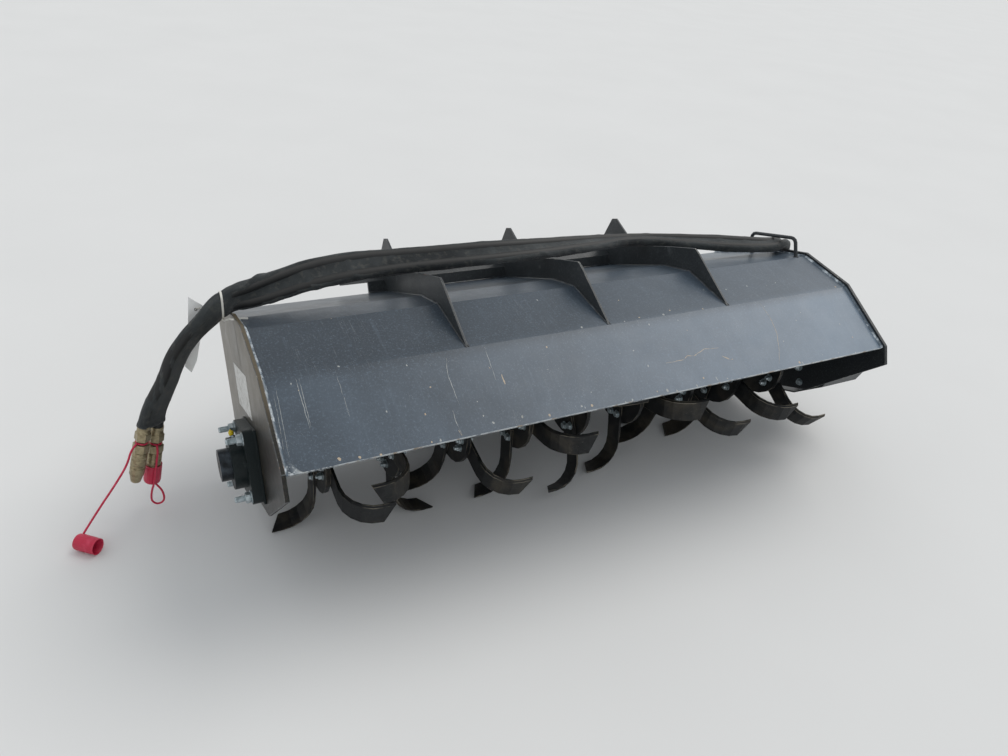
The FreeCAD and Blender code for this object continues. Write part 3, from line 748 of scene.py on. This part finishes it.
def sleeve_section(front, rear, way, spread, crease):
    """Outline round two hoses at one station, creased between them: place, way out and angle."""
    middle = (front + rear) / 2
    across = rear - front
    across -= way * across.dot(way)
    half = across.length / 2 * spread
    u = across.normalized()
    n = way.cross(u)
    r = (HOSE_R + FABRIC) * MM
    pinch = clamp((half - r * 0.55) / r, 0.0, 0.6) * crease
    out = []
    for j in range(SLEEVE_SIDES):
        a = 2 * math.pi * j / SLEEVE_SIDES
        c, s = math.cos(a), math.sin(a)
        lobe = math.tanh(2.6 * c) / math.tanh(2.6)
        x = half * lobe + r * c
        y = r * s * (1.0 - pinch * (1.0 - lobe * lobe))
        out.append((middle + u * x + n * y, (u * c + n * s).normalized(), a))
    return out


def sleeve_growth(s, turn, slack, tied):
    """How far the cloth stands off the hoses at a station and an angle, tied metres from the tie."""
    c, d = math.cos(turn), math.sin(turn)
    small = lump(s * 13.0, c * 1.2, d * 1.2)
    soft = small * (0.0008 + 0.0026 * slack)
    ridge = max(lump(s * 5.0, c * 2.1, d * 2.1 + 9.0), 0.0) * 0.003 * slack
    fold = max(lump(s * 34.0 + d * 1.6, c * 0.7, 7.0), 0.0) ** 1.5 * (0.001 + 0.008 * slack)
    gathers = bell(tied, 0.05) * 0.0022 * max(math.sin(turn * 7.0 + 2.0 * small), 0.0)
    grow = max(soft + ridge + fold + gathers, -0.0002)
    return grow * (1.0 - 0.95 * bell(tied, 0.008))


def sleeve_rings(bm, pairs, step):
    """The sleeve's outline as vertices at each pair of points of the hoses."""
    rings = []
    last = len(pairs) - 1
    for i, (front, rear) in enumerate(pairs):
        way = (sum(pairs[min(i + 2, last)], Vector()) - sum(pairs[max(i - 2, 0)], Vector())).normalized()
        left = (last - i) * step
        past_tie = TIE_X - front.x
        hung = clamp(past_tie / 0.06)
        spread = 1.0 - 0.1 * hung + 0.14 * (1.0 - min(left / FLARE_RUN, 1.0)) ** 1.5
        slack = (0.22 + 0.78 * bell(past_tie, 0.3)) * (1.0 - 0.85 * hung)
        crease = (0.75 - 0.73 * hung) * (1.0 - bell(past_tie, 0.035))
        ring = []
        for co, outward, turn in sleeve_section(front, rear, way, spread, crease):
            grow = sleeve_growth(i * step, turn, slack, co.x - TIE_X)
            grow += 0.001 * bell(left - HEM, 0.006)
            if left < HEM_BAND:
                grow += 0.0012
            ring.append(bm.verts.new(co + outward * grow))
        rings.append(ring)
    return rings


def tie_line(rings):
    """The sleeve's outline where the tie runs."""
    line = []
    for k in range(SLEEVE_SIDES):
        for lower, upper in zip(rings, rings[1:]):
            p, q = lower[k].co, upper[k].co
            if (p.x - TIE_X) * (q.x - TIE_X) <= 0:
                line.append(p.lerp(q, (TIE_X - p.x) / (q.x - p.x)))
                break
    return line


def make_sleeve(front_line, rear_line):
    """Woven sleeve round both hoses, creased between them, wrinkled and tied at the end plate."""
    total = length_of(front_line)
    fronts = even(front_line, int(total / SLEEVE_STEP))
    step = total / (len(fronts) - 1)
    pairs = [(p, nearest(rear_line, p)) for p in fronts[int(SLEEVE_FROM / step):-1]]
    while (pairs[-1][1] - rear_line[-1]).length < SLEEVE_SHORT:
        pairs.pop()
    bm = bmesh.new()
    uv = bm.loops.layers.uv.new("threads")
    rings = sleeve_rings(bm, pairs, step)
    for i, (lower, upper) in enumerate(zip(rings, rings[1:])):
        for k in range(SLEEVE_SIDES):
            n = (k + 1) % SLEEVE_SIDES
            face = bm.faces.new((lower[k], lower[n], upper[n], upper[k]))
            for loop, (u, v) in zip(face.loops, ((k, i), (k + 1, i), (k + 1, i + 1), (k, i + 1))):
                loop[uv].uv = (u * THREADS[0], v * THREADS[1])
    line = tie_line(rings)
    # hemmed ends: a rolled lip turned in
    for ring, inner in ((rings[0], rings[3]), (rings[-1], rings[-4])):
        middle = sum((v.co for v in ring), Vector()) / len(ring)
        lip = []
        deep = []
        for v, w in zip(ring, inner):
            inward = (middle - v.co).normalized()
            lip.append(bm.verts.new(v.co + inward * 0.0022))
            deep.append(bm.verts.new(w.co + inward * 0.0026))
        skin(bm, [ring, lip, deep], caps=False)
    return piece("hose_sleeve", bm, CLOTH, smooth=180.0, matrix=METRES), line


def ribbon(bm, points, width_way, width, thick, closed=False):
    """Flat band along points, its width along width_way at every point."""
    rows = []
    for p, way in zip(points, ways(points, closed)):
        w = square_to(width_way, way)
        t = way.cross(w)
        rows.append([bm.verts.new(p + w * (sw * width / 2) + t * (st * thick / 2))
                     for sw, st in ((-1, -1), (1, -1), (1, 1), (-1, 1))])
    skin(bm, rows, closed)


def taut(line):
    """Hull of a closed line of points about X, as a strap pulled tight runs over them."""
    def turn(o, a, b):
        return (a.y - o.y) * (b.z - o.z) - (a.z - o.z) * (b.y - o.y)

    ordered = sorted(line, key=lambda p: (p.y, p.z))
    halves = []
    for run in (ordered, ordered[::-1]):
        hull = []
        for p in run:
            while len(hull) > 1 and turn(hull[-2], hull[-1], p) <= 0:
                hull.pop()
            hull.append(p)
        halves += hull[:-1]
    return halves


def make_tie(line):
    """Cable tie round the sleeve, its tail through the hole in the left end plate."""
    line = taut(line)
    middle = sum(line, Vector()) / len(line)
    line = [p + (p - middle).normalized() * 0.0009 for p in line]
    bm = bmesh.new()
    ribbon(bm, line, Vector((1.0, 0.0, 0.0)), 0.005, 0.0015, closed=True)
    piece("tie_band", bm, TIE_WHITE, smooth=50.0, matrix=METRES)

    to_own = PARK.inverted()
    head = min((to_own @ p for p in line), key=lambda p: p.z + 0.25 * p.y)
    bm = bmesh.new()
    lock = Matrix.Translation(head + Vector((0.0, 1.0, -3.0)))
    box_body(bm, lock, (-4.0, 4.0), (-5.0, 5.0), (-2.6, 2.6))
    bmesh.ops.bevel(bm, geom=bm.edges[:], offset=0.8, segments=2, affect="EDGES", profile=0.7)
    tail = [head + Vector((0.0, -2.0, -3.0)), head + Vector((-1.5, -18.0, -4.5))]
    tail += [Vector((x, TIE_HOLE[0] + dy, TIE_HOLE[1] + dz)) for x, dy, dz in TIE_TAIL]
    ribbon(bm, tail, Vector((0.0, 0.0, 1.0)), 4.2, 1.4)
    piece("tie_tail", bm, TIE_WHITE, smooth=50.0)


def make_tag():
    """Blank card tag with an eyelet and a string, hung behind the sleeve, parked frame."""
    bm = bmesh.new()
    faces = []
    for y in (TAG_Y + TAG_T, TAG_Y):
        faces.append([bm.verts.new((x, y + TAG_BOW * (z - 600.0) ** 2, z)) for x, z in TAG_EDGE])
    skin(bm, faces)
    piece("hose_tag", bm, TAG_MAT, smooth=30.0, matrix=PARKED_MM)

    x, z = TAG_EYE
    bm = bmesh.new()
    lathe(bm, axes((x, TAG_Y - 0.1, z), (0.0, -1.0, 0.0)),
          [(3.9, -1.4), (3.9, 0.3), (3.2, 0.6), (2.6, 0.2), (2.4, -0.6)], 20)
    piece("tag_eyelet", bm, RUBBER, matrix=PARKED_MM)

    bm = bmesh.new()
    string = [Vector((x + dx, TAG_Y - dy, z + dz)) for dx, dy, dz in
              ((0.0, 1.2, 0.0), (1.1, 2.6, 2.8), (8.1, 3.6, 4.3), (17.1, 6.0, 2.3))]
    ribbon(bm, string, Vector((0.0, 1.0, 0.0)), 1.6, 1.6)
    piece("tag_string", bm, TIE_WHITE, smooth=60.0, matrix=PARKED_MM)


def knurled(bm, at, radius, low, high, count=36, depth=0.5):
    """Ribbed band, its ribs along the axis."""
    rings = []
    for h, r in ((low, radius - depth), (low + 0.8, radius), (high - 0.8, radius), (high, radius - depth)):
        rings.append(circle(bm, at, [r, r - depth] * count, h))
    skin(bm, rings)


def make_coupler(name, end, way):
    """Quick coupler: ferrule, swivel nut, neck, body hex, ribbed sleeve with grooves, open nose."""
    at = axes(end / MM, way)
    bm = bmesh.new()
    z1 = NUT_LEN
    z2 = z1 + NECK_LEN
    z3 = z2 + HEX_LEN
    z4 = z3 + BARREL_LEN
    z5 = z4 + NOSE_LEN
    crest = HOSE_R + 1.6
    root = HOSE_R + 0.9
    lathe(bm, at, [(HOSE_R + 0.6, -22.0), (crest, -21.0), (crest, -13.0), (root, -12.0),
                   (root, -9.0), (crest, -8.0), (crest, 1.0)])
    hex_body(bm, at, 34.0, 0.0, z1, 2.4)
    lathe(bm, at, [(11.6, z1 - 2), (11.6, z2 + 2)])
    hex_body(bm, at, 36.0, z2, z3, 2.2)
    lathe(bm, at, [(16.4, z3 - 1), (18.2, z3), (18.9, z3 + 1.5), (18.9, z3 + 7), (17.6, z3 + 8),
                   (17.6, z3 + 11), (18.9, z3 + 12), (18.9, z3 + 19), (18.0, z3 + 20)], 40)
    knurled(bm, at, 18.9, z3 + 20, z3 + 40)
    lathe(bm, at, [(18.0, z3 + 40), (18.9, z3 + 41), (18.9, z3 + 46), (17.4, z3 + 47),
                   (17.4, z3 + 49), (18.8, z3 + 50), (18.8, z4), (17.6, z4 + 3), (15.4, z4 + 12),
                   (13.2, z5 - 2), (12.6, z5), (9.6, z5), (9.0, z5 - 1.5), (9.0, z5 - 16),
                   (5.0, z5 - 17)], 40)
    obj = piece(name + "_detail", bm, ZINC_SAND, smooth=35.0, matrix=PARKED_MM)
    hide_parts(name)
    return obj


def make_cap(name, mouth, way):
    """Dust cap: ribbed cup with a rolled lip, from its floor inside out."""
    at = axes(mouth / MM, way)
    wall = CAP_R
    profile = [(3.0, CAP_LEN - CAP_FLOOR), (wall - 3.4, CAP_LEN - CAP_FLOOR), (wall - 2.7, CAP_LEN - 9),
               (wall - 2.6, 1.2), (wall - 1.8, 0.2), (wall - 0.9, 0.0), (wall - 0.1, 0.7),
               (wall - 0.1, 3.0), (wall - 0.8, 4.0), (wall - 0.8, 6.0), (wall - 0.7, 8.0),
               (wall - 0.7, CAP_LEN - 7), (wall - 0.9, CAP_LEN - 5), (wall - 0.9, CAP_LEN - 3),
               (wall - 2.4, CAP_LEN - 0.8), (wall - 4.6, CAP_LEN), (9.0, CAP_LEN),
               (8.4, CAP_LEN - 0.7), (3.0, CAP_LEN - 0.7)]
    ribbed = profile[10:12]
    bm = bmesh.new()
    rings = []
    for r, h in profile:
        crest = r + (0.65 if (r, h) in ribbed else 0.0)
        rings.append(circle(bm, at, [crest, crest, r, r] * 20, h))
    skin(bm, rings)
    obj = piece(name + "_detail", bm, RED, matrix=PARKED_MM)
    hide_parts(name)
    return obj


def make_strap_ring(name, end, way):
    """Soft ring of a dust cap's strap round the coupler's neck."""
    at = axes(end / MM, way)
    bm = bmesh.new()
    rings = []
    for j in range(10):
        a = 2 * math.pi * j / 10
        height = NUT_LEN + NECK_LEN / 2 + 2.7 * math.sin(a)
        rings.append(circle(bm, at, [14.4 + 2.0 * math.cos(a)] * 48, height))
    skin(bm, rings, closed=True)
    return piece(name, bm, RED, smooth=60.0, matrix=PARKED_MM)


def make_cords():
    """Hoses in their sleeve, with the tie and the tag, then couplers, caps and straps."""
    lines = []
    for k, name in enumerate(["front", "rear"]):
        points = hose_points(k)
        into_nut = points[-1] + (points[-1] - points[-2]).normalized() * (HOSE_IN_NUT * MM)
        hose = route("hose_%s_run" % name, points + [into_nut], HOSE_R * MM, RUBBER)
        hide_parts("hose_" + name)
        lines.append(centre_line(hose))
    sleeve, line = make_sleeve(*lines)
    make_tie(line)
    make_tag()
    for k, name in enumerate(["front", "rear"]):
        points = hose_points(k)
        end = points[-1]
        way = (end - points[-2]).normalized()
        fitting = make_coupler("coupler_" + name, end, way)
        if name == "front":
            mouth = end + way * ((COUPLER_LEN + SEAT + CAP_FLOOR - CAP_LEN) * MM)
            cap_way = way
            strap_points = STRAP_FRONT
        else:
            mouth = Vector((*CAP_GROUND, CAP_R)) * MM
            cap_way = (Vector((*CAP_BACK, CAP_R)) * MM - mouth).normalized()
            strap_points = STRAP_REAR
        cap = make_cap("dust_cap_" + name, mouth, cap_way)
        ring = make_strap_ring("strap_ring_" + name, end, way)
        strap = route("cap_strap_%s_run" % name, [Vector(p) * MM for p in strap_points], STRAP_R * MM, RED)
        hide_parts("cap_strap_" + name)
        strap_line = centre_line(strap)


# details

# material, edge material where it differs, edge width in mm, and the carried-over pieces
FINISH = [
    (HOOD_PAINT, EDGE, 1.2, ["hood_shell"]),
    (PLATE_PAINT, EDGE, 1.3, ["end_plate_left"]),
    (SHADED_PLATE_PAINT, EDGE, 1.3, ["end_plate_right"]),
    (DARK_PAINT, EDGE, 1.2, ["mount_lip", "mount_foot", "motor_guard"]),
    (DARK_PAINT, EDGE, 1.0, ["gusset_left", "gusset_centre", "gusset_right"]),
    (DARK_PAINT, None, 1.2, ["mount_upright"]),
    (DARK_PAINT, None, 1.0, ["rear_beam"]),
    (DARK_PAINT, None, 0.0, ["hose_hoop"]),
    (DARK_PAINT, None, 1.6, ["motor"]),
    (GREEN, None, 1.0, ["bearing_pad"]),
    (GREEN, None, 2.2, ["bearing_housing"]),
    (INSERT, None, 1.2, ["bearing_insert"]),
    (ZINC_SAND, None, 1.0, ["motor_elbow_front", "motor_elbow_rear"]),
    (SHAFT, None, 1.0, ["rotor_tube"]),
    (TINE, BRIGHT, 1.0, ["tine_ring_%d" % (i + 1) for i in range(RING_COUNT)]),
]


def dress(obj, material, edge, width):
    """Finish and softened edges of one carried-over piece."""
    obj.data.materials.clear()
    obj.data.materials.append(material)
    obj.data.materials.append(edge or material)
    weld = obj.modifiers.new("join", "WELD")
    weld.merge_threshold = 0.00002
    if width:
        bevel = obj.modifiers.new("soft_edges", "BEVEL")
        bevel.width = width * MM
        bevel.segments = 2
        bevel.limit_method = "ANGLE"
        bevel.angle_limit = math.radians(35.0)
        bevel.material = 1 if edge else -1
        bevel.harden_normals = False
    shade = obj.modifiers.new("even_shading", "WEIGHTED_NORMAL")
    shade.keep_sharp = True


def bearing_details():
    """Studs, grease nipple with its cap, shaft end and the insert's screws."""
    out = axes((0, 0, 0), (-1, 0, 0), (0, 0, 1))
    bm = bmesh.new()
    for dy in (-1, 1):
        for dz in (-1, 1):
            spot = Vector((BEARING_FACE, AXIS_Y + dy * BEARING_STUD_OFF, AXIS_Z + dz * BEARING_STUD_OFF))
            spin = Matrix.Rotation(0.3 * dy + 0.5 * dz, 4, "Z")
            bolt(bm, Matrix.Translation(spot) @ out @ spin, BEARING_STUD, nut=True, stud=40.0)
    piece("bearing_studs", bm, ZINC_BLUE, smooth=35.0)

    nipple = axes((-969.0, AXIS_Y, AXIS_Z + 65.0), (-0.25, 0, 1))
    bm = bmesh.new()
    hex_body(bm, nipple, 11.0, 0.0, 6.0, 0.8)
    lathe(bm, nipple, [(3.4, 6.0), (3.4, 9.0), (2.6, 10.0), (3.2, 12.0)], 16)
    piece("grease_nipple", bm, ZINC_BLUE, smooth=35.0)
    bm = bmesh.new()
    lathe(bm, nipple, [(5.6, 7.5), (6.4, 8.2), (6.4, 15.0), (5.6, 17.0), (3.2, 18.2),
                       (2.0, 21.0), (1.4, 21.6)], 24)
    piece("nipple_cap", bm, YELLOW, smooth=50.0)

    bm = bmesh.new()
    lathe(bm, axes((-OUT_X - SHAFT_OUT, AXIS_Y, AXIS_Z), (-1, 0, 0)),
          [(31.8, -1.0), (31.8, 0.8), (29.5, 2.6), (9.0, 2.6), (8.0, 1.2), (3.0, -4.0)], 40)
    piece("shaft_end", bm, SHAFT, body="rotor", smooth=35.0)
    bm = bmesh.new()
    for turn in (40.0, 160.0):
        a = math.radians(turn)
        way = Vector((0, math.sin(a), math.cos(a)))
        spot = Vector((-OUT_X - SCREWS_OUT, AXIS_Y, AXIS_Z)) + way * 40.2
        lathe(bm, axes(spot, way), [(5.0, 0.0), (5.0, 1.4), (4.4, 2.0), (2.6, 2.0), (2.4, 0.8)], 18)
    piece("insert_screws", bm, ZINC_BLUE, body="rotor", smooth=35.0)


def motor_bolts():
    """Bolts of the motor's flange and of its guard, through the right end plate."""
    bm = bmesh.new()
    for dy in (-1, 1):
        for dz in (-1, 1):
            y, z = AXIS_Y + dy * MOTOR_BOLT_OFF[0], AXIS_Z + dz * MOTOR_BOLT_OFF[1]
            bolt(bm, axes((OUT_X + MOTOR_FLANGE_T, y, z), (1, 0, 0)), MOTOR_BOLT)
            bolt(bm, axes((HALF_W, y, z), (-1, 0, 0)), MOTOR_BOLT, nut=True, stud=20.0)
    for y, z in GUARD_BOLTS:
        bolt(bm, axes((OUT_X, y, z), (1, 0, 0)), GUARD_BOLT, nut=True, stud=18.0)
        bolt(bm, axes((HALF_W, y, z), (-1, 0, 0)), GUARD_BOLT)
    piece("motor_bolts", bm, ZINC_BLUE, smooth=35.0)


def tine_bolts():
    """Two bolts through the flange at each tine's foot."""
    for i, phase in enumerate(RING_PHASE):
        bm = bmesh.new()
        for k in range(4):
            turn = math.radians(phase + 90.0 * k)
            radial = Vector((0, -math.sin(turn), -math.cos(turn)))
            side = Vector((0, -math.cos(turn), math.sin(turn)))
            bent = Vector((-1 if k % 2 == 0 else 1, 0, 0))
            for s in (-1, 1):
                spot = ring_middle(i) + radial * TINE_BOLT_R + side * (s * TINE_BOLT_HALF_PITCH)
                bolt(bm, axes(spot + bent * (FLANGE_T / 2 + TINE_T), bent), TINE_BOLT)
                bolt(bm, axes(spot - bent * (FLANGE_T / 2), -bent), TINE_BOLT, nut=True, stud=18.0)
        piece("tine_bolts_%d" % (i + 1), bm, ZINC_BLUE, body="rotor", smooth=35.0)


def weld_beads():
    """Beads at the end plates, then on the hood, and round the rotor's tube."""
    bm = bmesh.new()
    for side in (-1, 1):
        points = [(side * (HALF_W - 1.5), y, z) for y, z in HOOD]
        for i, ends in enumerate(zip(points, points[1:])):
            bead(bm, ends, off_hood(i) - Vector((side * 0.8, 0, 0)), 5.6, seed=side + i)
    piece("plate_welds", bm, WELD, smooth=70.0)

    bm = bmesh.new()
    for i in range(3):
        for side in (-1, 1):
            x = (i - 1) * GUSSET_PITCH + side * (GUSSET_T / 2 + 1.0)
            for j in (1, 2, 3):
                ends = [(x, y, z) for y, z in HOOD[j:j + 2]]
                bead(bm, ends, off_hood(j) + Vector((side * 0.8, 0, 0)), 3.0, seed=3.0 * i + side)
    for y, z, rise in HOOP_FEET:
        foot = loop_points((HALF_W - HOOP_IN, y, z), (7.0, 0, 0), (0, 7.0, 7.0 * rise), 12)
        bead(bm, foot, (0, 0, 1), 2.6, 3.0, seed=y)
    bead(bm, [(-MOUNT_HALF, 437.0, 481.3), (MOUNT_HALF, 437.0, 481.3)], (0, -1, 1), 4.0, seed=21.0)
    for side in (-1, 1):
        x = side * (HALF_W - 1.0)
        bead(bm, [(x, 388.0, 111.0), (x, 388.0, 159.0)], (0, -1, 0), 3.6, seed=side)
    piece("hood_welds", bm, DARK_WELD, smooth=70.0)

    bm = bmesh.new()
    for i in range(RING_COUNT):
        for side in (-1, 1):
            middle = ring_middle(i) + Vector((side * (FLANGE_T / 2 + 1.0), 0, 0))
            loop = loop_points(middle, (0, RING_WELD_R, 0), (0, 0, RING_WELD_R), 36)
            bead(bm, loop, (side, 0, 0), 3.4, 7.0, seed=i + side)
    piece("rotor_welds", bm, DARK_WELD, body="rotor", smooth=70.0)


# scratches on the lowest flat: width, 0 bare or 1 rusty, then (x, up) points
SCRATCHES = [
    (2.2, 0, [(-843, 220), (-842, 160), (-841, 97)]),
    (1.8, 0, [(-836, 219), (-838, 99)]),
    (1.2, 0, [(-753, 224), (-750, 106)]),
    (2.4, 0, [(-484, 210), (-495, 169), (-494, 120), (-493, 86)]),
    (2.0, 0, [(-514, 73), (-515, 40), (-512, 13)]),
    (2.0, 0, [(-377, 224), (-380, 130)]),
    (1.4, 0, [(-889, 213), (-893, 130), (-898, 40)]),
    (1.2, 0, [(-897, 190), (-901, 110), (-905, 60)]),
    (2.6, 1, [(117, 88), (178, 88), (197, 98), (217, 93), (261, 108), (311, 103)]),
    (2.0, 1, [(541, 220), (549, 168), (542, 115), (516, 60), (490, 19)]),
    (5.0, 1, [(309, 77), (332, 60), (340, 62)]),
    (5.0, 1, [(-360, 142), (-361, 114)]),
    (5.0, 1, [(-516, 22), (-512, 8)]),
    (4.0, 0, [(253, 20), (255, 8)]),
    (4.5, 0, [(575, 12), (577, 4)]),
]


def scratches():
    """Thin broken strips that waver along their lines."""
    bm = bmesh.new()
    up = off_hood(0).normalized()
    for number, (width, index, points) in enumerate(SCRATCHES):
        spots = spaced([on_hood(0, x, rise, 0.15) for x, rise in points], 4.0)
        rows = []
        for i, (p, way) in enumerate(zip(spots, ways(spots))):
            side = up.cross(way)
            t = clamp(i / (len(spots) - 1), 0.04, 0.96)
            w = width * 0.5 * math.sin(math.pi * t) ** 0.5
            w *= 0.62 + 0.6 * lump(i * 0.7, number, 0.0)
            w *= clamp(1.1 + 2.4 * lump(i * 0.22, number, 8.0), 0.12, 1.0)
            p = p + side * (1.2 * lump(i * 0.25, number, 5.0))
            rows.append([bm.verts.new(p + side * (s * w) - up * deep)
                         for s, deep in ((-1, 0.0), (1, 0.0), (1, 0.3), (-1, 0.3))])
        skin(bm, rows, index=index)
    piece("paint_scratches", bm, [SCRATCH, RUST], smooth=60.0)


def chips():
    """Small spots of bare or rusty metal scattered over the two front flats, most near the edges."""
    dice = random.Random(11)
    bm = bmesh.new()
    for number in range(64):
        flat = 0 if number % 4 else 1
        height = math.dist(HOOD[flat], HOOD[flat + 1])
        x = dice.uniform(-0.97, 0.97) * HALF_W
        up = height * (dice.random() if number % 3 else 0.05 * dice.random() + 0.01)
        near = min(up, HALF_W - abs(x)) < 25.0
        size = dice.uniform(0.8, 2.2) * (1.5 if near else 1.0)
        index = 1 if dice.random() < 0.3 else 0
        low = []
        high = []
        for k in range(7):
            a = 2 * math.pi * k / 7
            r = size * dice.uniform(0.6, 1.4)
            edge_x = x + r * math.cos(a)
            edge_up = max(up + r * 1.3 * math.sin(a), 0.5)
            low.append(bm.verts.new(on_hood(flat, edge_x, edge_up, -0.1)))
            high.append(bm.verts.new(on_hood(flat, edge_x, edge_up, 0.12)))
        skin(bm, [low, high], index=index)
    piece("paint_chips", bm, [SCRATCH, RUST], smooth=60.0)


def label():
    """Blank film label on the left end plate."""
    bm = bmesh.new()
    at = Matrix.Translation(Vector((-OUT_X, 137.0, 296.0))) @ Matrix.Rotation(math.radians(2.0), 4, "X")
    box_body(bm, at, (-0.5, 0.2), (-108.0, 108.0), (-56.0, 56.0))
    piece("side_label", bm, LABEL_MAT, smooth=30.0)


# floor, light and camera

FLOOR_HALF = 60.0
FLOOR = (colour(212, 212, 211), colour(218, 218, 217))
HORIZON = colour(219, 221, 222)       # how the far floor renders
SKY = (0.93, 0.965, 1.0, 1.0)
SKY_POWER = 0.78
SUN_FROM = (0.62, 0.1, 0.78)
SUN_COLOUR = (1.0, 0.97, 0.93)
SUN_POWER = 1.3
SUN_SPREAD = 40.0
# the photograph's camera, parked frame
CAMERA_PLACE = (-1.1798, -1.6349, 1.5403)
CAMERA_TURN = 30.474
CAMERA_PITCH = 32.863
CAMERA_ROLL = 7.342
FOCAL_SHARE = 748.9 / 1008.0          # focal length as a share of the picture's width


def floor():
    mesh = bpy.data.meshes.new("floor")
    corners = [(x * FLOOR_HALF, y * FLOOR_HALF, 0.0) for x, y in ((-1, -1), (1, -1), (1, 1), (-1, 1))]
    mesh.from_pydata(corners, [], [(0, 1, 2, 3)])
    m = Shade("floor_pale", rough=0.85, shine=0.1)
    m.to("Base Color", m.blend(m.noise(1.2, 3.0), *FLOOR))
    mesh.materials.append(m.mat)
    add_object("floor", mesh)


def sky():
    """Even light, which the camera, reflections and clear parts see as the far floor's paleness."""
    world = bpy.data.worlds.new("studio")
    bpy.context.scene.world = world
    world.use_nodes = True
    nodes, links = world.node_tree.nodes, world.node_tree.links
    light = nodes["Background"]
    light.inputs["Color"].default_value = SKY
    light.inputs["Strength"].default_value = SKY_POWER
    seen = nodes.new("ShaderNodeBackground")
    seen.inputs["Color"].default_value = HORIZON
    rays = nodes.new("ShaderNodeLightPath").outputs
    seen_by = rays["Is Camera Ray"]
    for ray in ("Is Glossy Ray", "Is Transmission Ray"):
        widest = nodes.new("ShaderNodeMath")
        widest.operation = "MAXIMUM"
        links.new(seen_by, widest.inputs[0])
        links.new(rays[ray], widest.inputs[1])
        seen_by = widest.outputs[0]
    either = nodes.new("ShaderNodeMixShader")
    links.new(seen_by, either.inputs["Fac"])
    links.new(light.outputs["Background"], either.inputs[1])
    links.new(seen.outputs["Background"], either.inputs[2])
    links.new(either.outputs["Shader"], nodes["World Output"].inputs["Surface"])


def soft_sun():
    """Wide even light from the right and a little behind."""
    data = bpy.data.lights.new("key", "SUN")
    data.energy = SUN_POWER
    data.angle = math.radians(SUN_SPREAD)
    data.color = SUN_COLOUR
    obj = add_object("key", data)
    obj.rotation_euler = Vector(SUN_FROM).to_track_quat("Z", "Y").to_euler()


def camera():
    """Camera at the photograph's place: turned right, pitched down and rolled."""
    turn, pitch, roll = (math.radians(a) for a in (CAMERA_TURN, CAMERA_PITCH, CAMERA_ROLL))
    ahead = Vector((math.sin(turn) * math.cos(pitch), math.cos(turn) * math.cos(pitch), -math.sin(pitch)))
    level = Vector((math.cos(turn), -math.sin(turn), 0.0))
    upright = level.cross(ahead)
    right = level * math.cos(roll) + upright * math.sin(roll)
    up = upright * math.cos(roll) - level * math.sin(roll)
    data = bpy.data.cameras.new("camera")
    data.sensor_width = 36.0
    data.lens = FOCAL_SHARE * data.sensor_width
    data.clip_end = 60.0
    obj = add_object("camera", data)
    rows = Matrix((right, up, -ahead)).transposed().to_4x4()
    obj.matrix_world = Matrix.Translation(Vector(CAMERA_PLACE)) @ rows
    bpy.context.scene.camera = obj


make_cords()
for material, edge, width, names in FINISH:
    for name in names:
        dress(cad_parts[name], material, edge, width)
bearing_details()
motor_bolts()
tine_bolts()
weld_beads()
scratches()
chips()
label()
floor()
sky()
soft_sun()
camera()

view = bpy.context.scene.view_settings
view.view_transform = "Standard"

bpy.context.view_layer.update()
